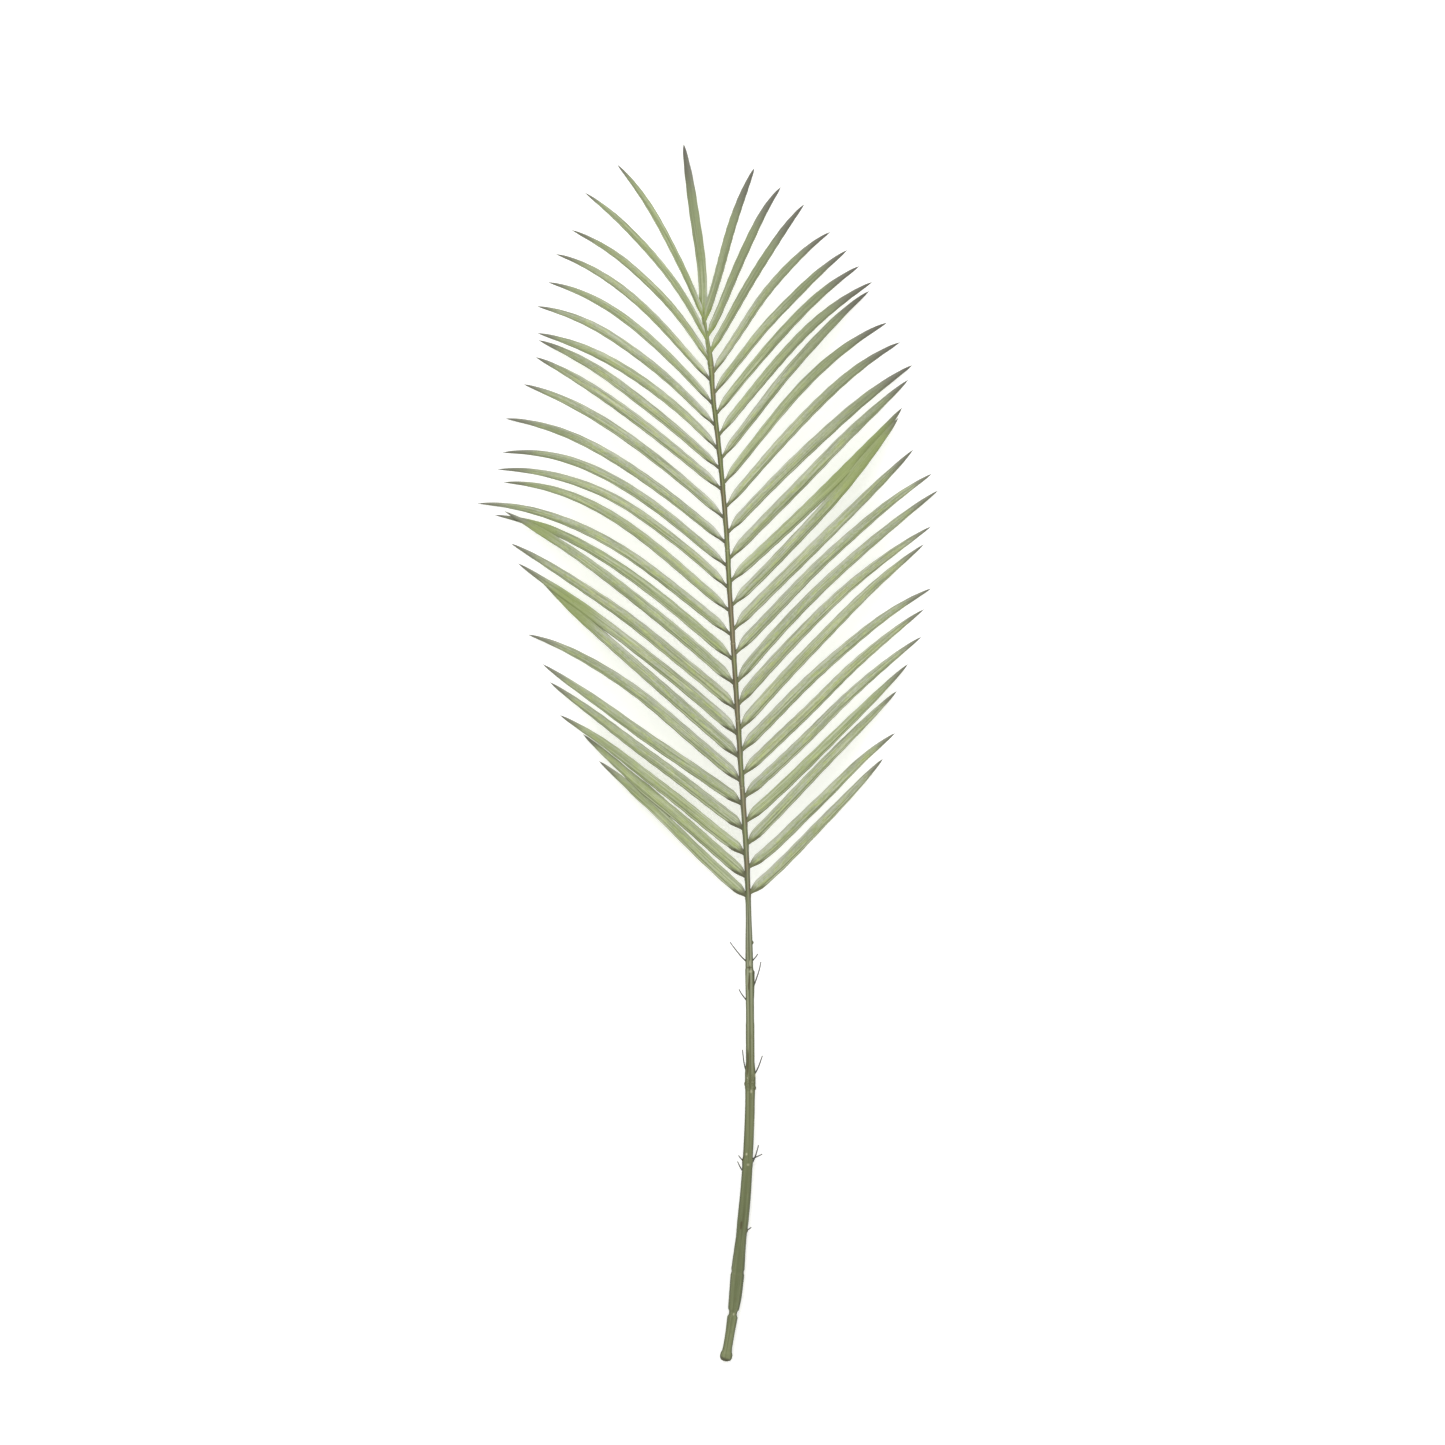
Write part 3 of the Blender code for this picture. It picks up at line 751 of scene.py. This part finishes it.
def leaflet(row, side, width, aside, draw):
    """Points of one leaflet in rings round the blade, and the values that its material reads."""
    middle, distances, length = blade_middle(row, side, aside, draw)
    outward, upward = blade_axes(middle, distances, side)
    shares = np.minimum(distances / length, 1.0)
    sizes = blade_sizes(row[0], width, distances, length, draw)
    sway = SWAY * wave(draw["sways"], shares, draw["phase"])
    sway *= clamp(SWAY_RISE * shares * (1 - shares))
    shift = sway + FLARE_SHIFT * sizes["flare"] - aside * sizes["attached"]
    middle = middle + outward * shift[:, None]

    places = section_places(shares)
    across, rib, above = places
    offset = across * (sizes["full"] / 2)[:, None]
    lift = blade_lift(places, shares, width, sizes, draw)
    points = middle[:, None, :] + outward[:, None, :] * offset[..., None]
    points = points + upward[:, None, :] * lift[..., None]
    values = {
        "along": shares[:, None],
        "reach": distances[:, None],
        "across": across,
        "offset": offset,
        "ridge": across - rib,
        "under": above < 0,
        "left": side == LEFT,
        "lap": sizes["green"][:, None],
    }
    for key in ("seed", "grey", "dusk", "pale", "fresh"):
        values[key] = draw[key]
    values = {key: np.broadcast_to(value, across.shape).ravel() for key, value in values.items()}
    return points.reshape(-1, 3), *across.shape, values


def grey_start(side, count):
    """Share of the length from which a leaflet's tip has turned grey."""
    if side == END or side == RIGHT and count >= TOP_COUNT:
        return GREY_TOP
    if side == RIGHT and count >= UPPER_COUNT:
        return GREY_UPPER
    return GREY_FROM


def leaflet_draws():
    """How each leaflet differs from the others, by side and count from the lowest."""
    random = np.random.default_rng(SEED)
    draws = {}
    for side, rows, shifts in (
        (LEFT, LEFT_LEAFLETS, LEFT_SHIFTS),
        (RIGHT, RIGHT_LEAFLETS, RIGHT_SHIFTS),
        (END, (END_LEAFLET,), END_SHIFTS),
    ):
        for count, row in enumerate(rows, 1):
            upper = upper_share(row[0])
            draws[side, count] = {
                "seed": random.uniform(0, 1),
                "phase": random.uniform(0, 1),
                "wave": random.uniform(*WAVE_HEIGHT),
                "waves": random.uniform(*WAVE_COUNT),
                "sways": random.uniform(*SWAY_COUNT),
                "twist": random.uniform(-TWIST, TWIST),
                "turns": random.uniform(*TWIST_COUNT),
                "grey": grey_start(side, count) + random.uniform(-GREY_SPREAD, GREY_SPREAD),
                "dusk": SHADE_AND_DARK_LEAST + SHADE_AND_DARK_RISE[side] * upper,
                "pale": PALE_LEAST + PALE_RISE[side] * upper,
                "fresh": fresh_share(row[0]),
                "shift": read(shifts, row[0]),
                "laps": [lap[2:] for lap in LAPS if lap[:2] == (side, count)],
            }
    return draws


def leaflet_groups():
    """The leaflets of each piece: the end leaflet, and the lower and upper half of either side."""
    draws = leaflet_draws()
    groups = {"leaflet_end": [(END_LEAFLET, LEFT, END_BLADE_WIDTH, 0.0, draws[END, 1])]}
    for label, side, rows, widths in (
        ("left", LEFT, LEFT_LEAFLETS, LEFT_WIDTHS),
        ("right", RIGHT, RIGHT_LEAFLETS, RIGHT_WIDTHS),
    ):
        for i, row in enumerate(rows):
            half = "lower" if i < len(rows) // 2 else "upper"
            width = read(widths, row[0])
            aside = read(STALK_ASIDE, row[0]) * width / 2
            group = groups.setdefault(f"leaflets_{label}_{half}", [])
            group.append((row, side, width, aside, draws[side, i + 1]))
    return groups


def make_leaflets(material):
    """Four pieces with the leaflets of one half of a side each, and one with the end leaflet."""
    for name, members in leaflet_groups().items():
        points, faces, values = [], [], {}
        first = 0
        for row, side, width, aside, draw in members:
            ring_points, rings, around, numbers = leaflet(row, side, width, aside, draw)
            shell = tube_faces(rings, around, first)
            faces += shell if side == LEFT else [tuple(reversed(face)) for face in shell]
            points.append(ring_points)
            for key, value in numbers.items():
                values.setdefault(key, []).append(value)
            first += len(ring_points)
        values = {key: np.concatenate(parts) for key, parts in values.items()}
        add_piece(name, build_mesh(name, np.concatenate(points), faces, values), material)


def stem_ribs(y, turn, size):
    """Grooves, fine ribs and soft swellings along the stem."""
    on_rachis = clamp((y - GROOVE_END) / GROOVE_FADE)
    on_rachis = on_rachis * clamp((GROOVE_TOP - y) / GROOVE_TOP_FADE)
    strength = (GROOVE_ON_STALK + (1 - GROOVE_ON_STALK) * on_rachis) * np.minimum(size, GROOVE_WIDEST)
    relief = np.zeros(np.broadcast_shapes(y.shape, turn.shape))
    for place, spread, depth in GROOVES:
        relief -= depth * bell(turn, place, spread) * strength
    for k, (count, height, drift_length) in enumerate(STEM_RIBS):
        drift = RIB_DRIFT * np.sin(y / drift_length + k)
        relief += height * np.sin(count * (turn + drift)) * size
    near_length, far_length = SWELL_LENGTHS
    relief += SWELL * np.sin(y / near_length + 2 * np.cos(turn)) * np.sin(y / far_length + turn) * size
    return relief


def old_rings(y, turn):
    """Worn rings round the rachis: a dark groove with a pale lip below it."""
    relief, mark = 0.0, 0.0
    tilted = y + RING_TILT * np.cos(turn)
    for station in RACHIS_RINGS:
        groove = bell(tilted, station, RING_WIDTH)
        relief = relief + RING_DEPTH * (bell(tilted, station - LIP_BELOW, RING_WIDTH) - groove)
        mark = mark + LIP_PALENESS * bell(y, station - LIP_MIDDLE, RING_WIDTH) - RING_DARKNESS * groove
    return relief, mark


def leaflet_joints(y, turn):
    """A swelling where each leaflet leaves the rachis, and a dark spot in the axil above it."""
    joint_rise, reach, place, spread, on_fresh = JOINT
    above, axil_reach, axil_place, axil_spread, darkness = AXIL
    relief, mark = 0.0, 0.0
    for side, rows in ((LEFT, LEFT_LEAFLETS), (RIGHT, RIGHT_LEAFLETS)):
        for row in rows:
            old = 1 - fresh_share(row[0])
            rise = joint_rise * (on_fresh + (1 - on_fresh) * old)
            relief = relief + rise * bell(y, row[0], reach) * bell(turn, side * place, spread)
            axil = bell(y, row[0] + above, axil_reach) * bell(turn, side * axil_place, axil_spread)
            mark = mark - darkness * old * axil
    return relief, mark


def sheath_edge(y, turn):
    """The torn edge of a sheath, which fades away down the stalk."""
    top, bottom, place, spread, rise = FLAP
    fading = clamp((y - bottom) / (top - bottom)) ** FLAP_FADING
    flap = clamp(top - y) * fading * bell(turn, place, spread)
    return rise * flap, -FLAP_DARKNESS * flap


def single_marks(y, turn):
    """Scars, specks, thorns and bruises, one by one."""
    relief, mark = 0.0, 0.0
    for station, place, length, spread, rise, paleness in STEM_MARKS:
        spot = plateau(y, station, length) * bell(turn, place, spread)
        relief = relief + rise * spot
        mark = mark + paleness * spot
    return relief, mark


def stem_relief(stations, turns, widths):
    """How far the surface of the stem stands out at each point, and its light and dark marks."""
    y, turn = stations[:, None], turns[None, :]
    relief = stem_ribs(y, turn, (widths / RIBBED_WIDTH)[:, None])
    mark = np.zeros_like(relief)
    for feature in (old_rings, leaflet_joints, sheath_edge, single_marks):
        rise, paleness = feature(y, turn)
        relief = relief + rise
        mark = mark + paleness
    return relief, mark


def make_stem(material):
    """The stalk and the rachis, with grooves, ribs, rings, scars and the cut end."""
    stations = np.arange(STEM_WIDTHS[0][0], STEM_WIDTHS[-1][0] + STEM_STEP / 2, STEM_STEP)
    middle = stem_points(stations)
    ahead = unit(np.gradient(middle, stations, axis=0))
    sideways = unit(np.column_stack((ahead[:, 1], -ahead[:, 0], np.zeros(len(ahead)))))
    upward = np.cross(sideways, ahead)
    widths = stem_widths(stations) + STEM_SPARE
    turns = 2 * math.pi * (np.arange(STEM_SIDES) + 0.5) / STEM_SIDES - math.pi
    relief, mark = stem_relief(stations, turns, widths)
    reach = (widths / 2)[:, None] + relief
    points = (
        middle[:, None, :]
        + sideways[:, None, :] * (reach * np.sin(turns))[..., None]
        + upward[:, None, :] * (reach * np.cos(turns) * STEM_FLATNESS)[..., None]
    )
    points[..., 2] = np.maximum(points[..., 2], 0.0)
    near_end = clamp(1 - (stations - stations[0]) / RIM_LENGTH)[:, None, None]
    points -= ahead[:, None, :] * near_end * RIM_BULGE * (np.cos(turns) ** 2)[None, :, None]

    centre = points[0].mean(axis=0)
    cut = [centre + (points[0] - centre) * share + ahead[0] * sink for share, sink in CUT_RINGS]
    rings = cut + list(points)
    cut_stations = np.full(len(cut), stations[0] - CUT_BELOW)
    values = {
        "station": np.repeat(np.concatenate((cut_stations, stations)), STEM_SIDES),
        "turn": np.tile(turns, len(rings)),
        "mark": np.concatenate((np.full(len(cut) * STEM_SIDES, CUT_MARK), mark.ravel())),
    }
    faces = tube_faces(len(rings), STEM_SIDES)
    add_piece("stem", build_mesh("stem", np.concatenate(rings), faces, values), material)


def make_fibres(material):
    """Hair-thin fibres that grow from the sides of the stalk."""
    all_points, faces, reach = [], [], []
    shares = np.linspace(0, 1, FIBRE_RINGS)
    turns = 2 * math.pi * np.arange(FIBRE_SIDES) / FIBRE_SIDES
    size = (FIBRE_THICKNESS + (FIBRE_TIP_THICKNESS - FIBRE_THICKNESS) * shares) / 2
    upward = np.array((0.0, 0.0, 1.0))
    for n, (root_across, root_along, tip_across, tip_along) in enumerate(FIBRES):
        start = np.array((root_across, root_along, stem_points(np.array([root_along]))[0, 2]))
        run = np.array((tip_across - root_across, tip_along - root_along, FIBRE_LIFT))
        length = np.linalg.norm(run)
        start = start - run / length * FIBRE_SINK
        run = run * (1 + FIBRE_SINK / length)
        sideways = unit(np.array((run[1], -run[0], 0.0)))
        bend = FIBRE_CURL + FIBRE_WAVE * np.sin(FIBRE_WAVES * shares + n)
        curl = math.copysign(1.0, run[0]) * bend * length * shares * (1 - shares)
        middle = start + run * shares[:, None] + sideways * curl[:, None]
        ring = upward * np.cos(turns)[:, None] + sideways * np.sin(turns)[:, None]
        points = middle[:, None, :] + ring[None] * size[:, None, None]
        faces += tube_faces(FIBRE_RINGS, FIBRE_SIDES, n * FIBRE_RINGS * FIBRE_SIDES)
        all_points.append(points.reshape(-1, 3))
        reach.append(np.repeat(shares, FIBRE_SIDES))
    values = {"along": np.concatenate(reach)}
    add_piece("fibres", build_mesh("fibres", np.concatenate(all_points), faces, values), material)


def feed(socket, value):
    """Links a value to a node's input, or sets the input to a constant."""
    if isinstance(value, Value):
        value.tree.links.new(value.socket, socket)
    else:
        socket.default_value = value


class Value:
    """One output of a node: a number or colour that can be calculated with, eased and tinted."""

    def __init__(self, tree, kind, inputs=(), output=0, **settings):
        node = tree.nodes.new(kind)
        for name, setting in settings.items():
            setattr(node, name, setting)
        for key, value in inputs.items() if isinstance(inputs, dict) else enumerate(inputs):
            feed(node.inputs[key], value)
        self.tree = tree
        self.socket = node.outputs[output]

    def math(self, operation, *numbers):
        return Value(self.tree, "ShaderNodeMath", numbers, operation=operation)

    def __add__(self, other):
        return self.math("ADD", self, other)

    def __sub__(self, other):
        return self.math("SUBTRACT", self, other)

    def __rsub__(self, other):
        return self.math("SUBTRACT", other, self)

    def __mul__(self, other):
        return self.math("MULTIPLY", self, other)

    def __truediv__(self, other):
        return self.math("DIVIDE", self, other)

    def __abs__(self):
        return self.math("ABSOLUTE", self)

    def fraction(self):
        return self.math("FRACT", self)

    def wander(self, size):
        """A noise moved to lie round zero, as wide as the size."""
        return (self - 0.5) * size

    def between(self, low, high, from_low=0.0, to_high=1.0):
        """The value eased from from_low at low to to_high at high."""
        numbers = (self, low, high, from_low, to_high)
        return Value(self.tree, "ShaderNodeMapRange", numbers, interpolation_type="SMOOTHSTEP")

    def band(self, rise, fall):
        """One inside a band of the value, which fades in over the rise and out over the fall."""
        return self.between(*rise) * self.between(*fall)

    def mix(self, share, other):
        """The colour mixed with another one."""
        inputs = {"Factor": share, "A": self, "B": other}
        return Value(self.tree, "ShaderNodeMix", inputs, "Result", data_type="RGBA")

    def tint(self, share, target):
        """The colour drawn by a share towards one given as on screen."""
        return self.mix(share, from_srgb(target))

    def tints(self, values, rows):
        """The colour tinted row by row: which value, where it begins, where it is full, share, target."""
        colour = self
        for name, begin, full, share, target in rows:
            colour = colour.tint(values[name].between(begin, full, 0.0, share), target)
        return colour


class Paint:
    """A procedural material and the values that it starts from."""

    def __init__(self, name):
        self.material = bpy.data.materials.new(name)
        self.material.use_nodes = True
        self.tree = self.material.node_tree
        self.shader = self.tree.nodes["Principled BSDF"]

    def value(self, name):
        return Value(self.tree, "ShaderNodeAttribute", output="Fac", attribute_name=name)

    def blend(self, share, first, second):
        """A mix of two plain colours, given as on screen."""
        inputs = {"Factor": share, "A": from_srgb(first), "B": from_srgb(second)}
        return Value(self.tree, "ShaderNodeMix", inputs, "Result", data_type="RGBA")

    def noise(self, place, scale=1.0, detail=2.0):
        inputs = {"Vector": place, "Scale": scale, "Detail": detail}
        return Value(self.tree, "ShaderNodeTexNoise", inputs, "Fac")

    def stretched_noise(self, along, across, place, stretch_along, stretch_across, detail):
        stretched = (along * stretch_along, across * stretch_across, place)
        return self.noise(Value(self.tree, "ShaderNodeCombineXYZ", stretched), detail=detail)

    def ramp(self, value, stops):
        ramp = Value(self.tree, "ShaderNodeValToRGB", (value,), "Color")
        elements = ramp.socket.node.color_ramp.elements
        while len(elements) < len(stops):
            elements.new(0.5)
        for element, (place, colour) in zip(elements, stops):
            element.position = place
            element.color = from_srgb(colour)
        return ramp

    def surface(self, colour, roughness, sheen):
        feed(self.shader.inputs["Base Color"], colour)
        feed(self.shader.inputs["Roughness"], roughness)
        self.shader.inputs["Specular IOR Level"].default_value = sheen

    def bump(self, coarse, fine, strength, distance):
        """Relief from two noises, mostly the coarse one, with a distance in metres."""
        inputs = {"Strength": strength, "Distance": distance, "Height": coarse * 0.7 + fine * 0.3}
        feed(self.shader.inputs["Normal"], Value(self.tree, "ShaderNodeBump", inputs, "Normal"))


def leaf_ground(paint, leaf):
    """The blade's colour: sage to yellow-green patches, paler towards the upper margin (partly its own
    colour, partly painted light), with painted shade on the lower half.
    """
    leaf["margin"] = leaf["across"] + leaf["mottle"].wander(0.7)
    leaf["green"] = (leaf["seed"] * 7.31).fraction()
    colour = paint.ramp(leaf["broad"] + leaf["seed"].wander(0.30), LEAF_TONES)
    colour = colour.tints(leaf, LEAF_PATCHES).tint(leaf["fresh"] * 0.45, (134, 150, 88))
    # painted shade: the steep lower half of the folded blade is darkened, more on the upper leaflets
    lower_half_shade = leaf["across"].between(0.3, -0.5) * leaf["dusk"]
    return colour.tint(lower_half_shade * 0.34, (120, 128, 94))


def leaf_lines(leaf, colour):
    """The midrib and the lower edge darkened as painted shade, a pale strip below the midrib, streaks, veins
    and a pale shoulder.
    """
    strip = leaf["ridge"].between(-0.08, -0.20) * leaf["across"].between(-0.96, -0.84)
    # painted shade: a dark line along the midrib, where the blade folds down
    midrib = leaf["ridge"].band((0.12, 0.01), (-0.13, -0.02))
    colour = colour.tint(strip * 0.55, (178, 185, 150)).tint(midrib * 0.72, (92, 102, 66))
    shoulder = leaf["reach"].between(46.0, 14.0) * leaf["margin"].between(0.0, 0.8)
    return colour.tints(leaf, LEAF_LINES).tint(shoulder * (leaf["pale"] * 0.85), (200, 202, 188))


def leaf_tip(paint, leaf, colour):
    """The blade greys and darkens to its tip, and is painted a deeper green as shade where it and another
    blade lie on each other.
    """
    start = leaf["grey"] + leaf["mottle"].wander(0.08)
    tip = (leaf["along"] - start) / (1.0 - start)
    colour = colour.tint(tip.between(-2.4, 0.3) * leaf["dusk"] * 0.80, (122, 131, 96))
    # the grey of the tip is darker towards the lower edge, the painted shade of the lower half carried on
    # into it
    grey = paint.blend(leaf["across"].between(-0.6, 0.6), (108, 110, 90), (138, 139, 124))
    colour = colour.mix(tip.between(-0.1, 0.6, 0.0, 0.85), grey)
    colour = colour.tint(tip.between(-0.05, 0.7) * leaf["dusk"] * 0.55, (88, 84, 78))
    colour = colour.tint(tip.between(0.65, 1.0, 0.0, 0.72), (88, 84, 80))
    colour = colour.tint(leaf["streaks"].between(0.50, 0.66, 0.0, 0.30), (100, 104, 76))
    # painted shade: deeper green where two blades lie on each other and less light comes through
    covered = leaf["lap"].between(0.10, 0.85, 0.0, 0.68) * tip.between(0.9, 0.2, 0.25, 1.0)
    return colour.tint(covered, (134, 148, 82))


def leaf_stalk(paint, leaf, colour):
    """The dark stalk, which runs out furthest along the lower edge, and is green on the fresh leaflets."""
    stalk = paint.blend(leaf["left"], (104, 108, 72), (84, 84, 60)).tint(leaf["fresh"], (136, 150, 84))
    reach = leaf["reach"] + leaf["mottle"] * 5.0 - leaf["across"].between(-0.1, -0.9, 0.0, 10.0)
    return colour.mix(reach.between(17.0, 8.0, 0.0, 0.9), stalk)


def leaf_material():
    """Dry leaflet: sage to yellow-green, pale upper margin partly painted light, dark midrib line, lower edge
    and lower half as painted shade, grey tip, dark stalk.
    """
    paint = Paint("dry_leaflet")
    leaf = {name: paint.value(name) for name in LEAF_VALUES}
    place = leaf["seed"] * SEED_SPREAD
    for name, stretches in LEAF_NOISES.items():
        leaf[name] = paint.stretched_noise(leaf["reach"], leaf["offset"], place, *stretches)
    colour = leaf_lines(leaf, leaf_ground(paint, leaf))
    colour = leaf_stalk(paint, leaf, leaf_tip(paint, leaf, colour))
    colour = colour.tint(leaf["grain"].between(0.70, 0.80, 0.0, 0.45), (122, 114, 82))
    colour = colour.tint(leaf["under"] * 0.35, (172, 178, 148))
    paint.surface(colour, leaf["grain"].between(0.3, 0.7, 0.52, 0.72), 0.35)
    paint.bump(leaf["veins"], leaf["grain"], 0.6, 0.0004)
    return paint.material


def stem_ground(paint, stem):
    """The stem's colour by station, with green and brown stretches on the rachis, and its sides darkened as
    painted shade.
    """
    span = TONES_TO - TONES_FROM
    stops = [((station - TONES_FROM) / span, tone) for station, tone in STEM_TONES]
    colour = paint.ramp((stem["station"] - TONES_FROM) / span + stem["mottle"].wander(0.03), stops)
    colour = colour.tint(stem["patch"].between(0.52, 0.60, 0.0, 0.55) * stem["rachis"], (122, 142, 74))
    colour = colour.tint(stem["patch"].between(0.48, 0.40, 0.0, 0.62) * stem["rachis"], (134, 106, 86))
    # painted shade: the sides of the round stem darkened where they turn from the light, less on the fresh
    # green top
    depth = stem["station"].between(FRESH_FROM, GREEN_FROM, 0.80, 0.35)
    return colour.tint(stem["side"].between(0.62, 1.12) * depth, (68, 74, 48))


def stem_lines(stem, colour):
    """Dark grooves and a pale crest along the rachis, pale stripes and a dark line along the upper stalk."""
    turn, side, rachis = stem["turn"], stem["side"], stem["rachis"]
    stalk = stem["station"].between(-420.0, -215.0, 0.12, 1.0) * rachis.between(1.0, 0.0)
    for line, stretch, share, target in (
        (turn.band((-1.1, -0.6), (-0.15, -0.45)), rachis, 0.62, (84, 82, 58)),
        (turn.band((1.0, 0.65), (0.28, 0.48)), rachis, 0.34, (96, 96, 68)),
        (turn.band((-0.30, 0.0), (0.36, 0.12)), rachis, 0.50, (174, 174, 134)),
        (side.band((0.10, 0.34), (0.84, 0.52)), stalk, 0.62, (172, 175, 146)),
        (abs(turn + 0.06).between(0.20, 0.05), stalk, 0.80, (76, 82, 54)),
    ):
        colour = colour.tint(line * stretch * share, target)
    return colour


def stem_spots(stem, colour):
    """Streaks and mottling, the speckled node, the marks one by one, and the rim and face of the cut."""
    node = stem["station"].band((-342.0, -335.0), (-318.0, -326.0))
    speckle = stem["speckle"].between(0.42, 0.60, 0.0, 0.75)
    stem["rim"] = stem["station"] + stem["turn"] * 0.8
    colour = colour.tints(stem, STEM_STREAKS).tint(node * speckle, (84, 86, 50))
    return colour.tints(stem, STEM_MARK_TONES).tint(0.14, (70, 80, 20)).tints(stem, CUT_TONES)


def stem_material():
    """Stalk and rachis: olive to brown, with pale ridges, sides darkened as painted shade, scars and a dark
    cut rim.
    """
    paint = Paint("dry_stem")
    stem = {name: paint.value(name) for name in ("station", "turn", "mark")}
    for name, (place, *stretches) in STEM_NOISES.items():
        stem[name] = paint.stretched_noise(stem["station"], stem["turn"], place, *stretches)
    stem["side"] = abs(stem["turn"])
    stem["rachis"] = stem["station"].band((-175.0, -130.0), (GREEN_FROM, FRESH_FROM))
    colour = stem_spots(stem, stem_lines(stem, stem_ground(paint, stem)))
    paint.surface(colour, stem["grain"].between(0.3, 0.7, 0.48, 0.7), 0.4)
    paint.bump(stem["streaks"], stem["grain"], 0.5, 0.0006)
    return paint.material


def fibre_material():
    """Dry fibre: grey-brown at the root, paler grey at the tip."""
    paint = Paint("dry_fibre")
    tones = ((0.0, (58, 60, 46)), (0.3, (70, 69, 62)), (1.0, (84, 81, 78)))
    paint.surface(paint.ramp(paint.value("along"), tones), 0.7, 0.5)
    return paint.material


def floor_material():
    """A pale, very even surface that gives back a little light of its own."""
    paint = Paint("pale_floor")
    place = Value(paint.tree, "ShaderNodeNewGeometry", output="Position")
    tone = paint.noise(place, scale=3.0).between(0.3, 0.7)
    paint.surface(paint.blend(tone, FLOOR_COLOUR, FLOOR_DARKER), 0.9, 0.1)
    paint.shader.inputs["Emission Color"].default_value = from_srgb(FLOOR_COLOUR)
    paint.shader.inputs["Emission Strength"].default_value = FLOOR_GLOW
    return paint.material


def make_floor():
    """A wide pale surface just under the frond."""
    half = FLOOR_SIZE / 2
    mesh = bpy.data.meshes.new("floor")
    corners = ((-half, -half, 0), (half, -half, 0), (half, half, 0), (-half, half, 0))
    mesh.from_pydata(corners, [], [(0, 1, 2, 3)])
    mesh.materials.append(floor_material())
    floor = bpy.data.objects.new("floor", mesh)
    floor.location.z = -FLOOR_GAP
    bpy.context.scene.collection.objects.link(floor)


def make_light():
    """An even pale sky and one wide soft lamp beyond the top of the frond."""
    world = bpy.data.worlds.new("pale_sky")
    world.use_nodes = True
    background = world.node_tree.nodes["Background"]
    background.inputs["Color"].default_value = (1.0, 1.0, 1.0, 1.0)
    background.inputs["Strength"].default_value = SKY_STRENGTH
    bpy.context.scene.world = world
    lamp = bpy.data.lights.new("soft_lamp", "AREA")
    lamp.size = LAMP_SIZE
    lamp.energy = LAMP_ENERGY
    holder = bpy.data.objects.new("soft_lamp", lamp)
    holder.location = LAMP_PLACE
    holder.rotation_euler = (-Vector(LAMP_PLACE)).to_track_quat("-Z", "Y").to_euler()
    bpy.context.scene.collection.objects.link(holder)


def make_camera():
    """Looks straight down on the frond, with a long lens."""
    camera = bpy.data.cameras.new("camera")
    camera.type = "PERSP"
    camera.sensor_width = SENSOR
    distance = CAMERA_HEIGHT - VIEW_PLANE * MM
    camera.lens = SENSOR * distance / (VIEW_SIZE * MM)
    camera.clip_end = CLIP_END
    holder = bpy.data.objects.new("camera", camera)
    across, along = ((view - middle) * MM for view, middle in zip(VIEW_MIDDLE, MIDDLE))
    holder.location = (across, along, CAMERA_HEIGHT)
    bpy.context.scene.collection.objects.link(holder)
    bpy.context.scene.camera = holder


def main():
    bpy.context.scene.view_settings.view_transform = "Standard"
    make_camera()
    make_floor()
    make_light()
    make_leaflets(leaf_material())
    make_stem(stem_material())
    make_fibres(fibre_material())


main()
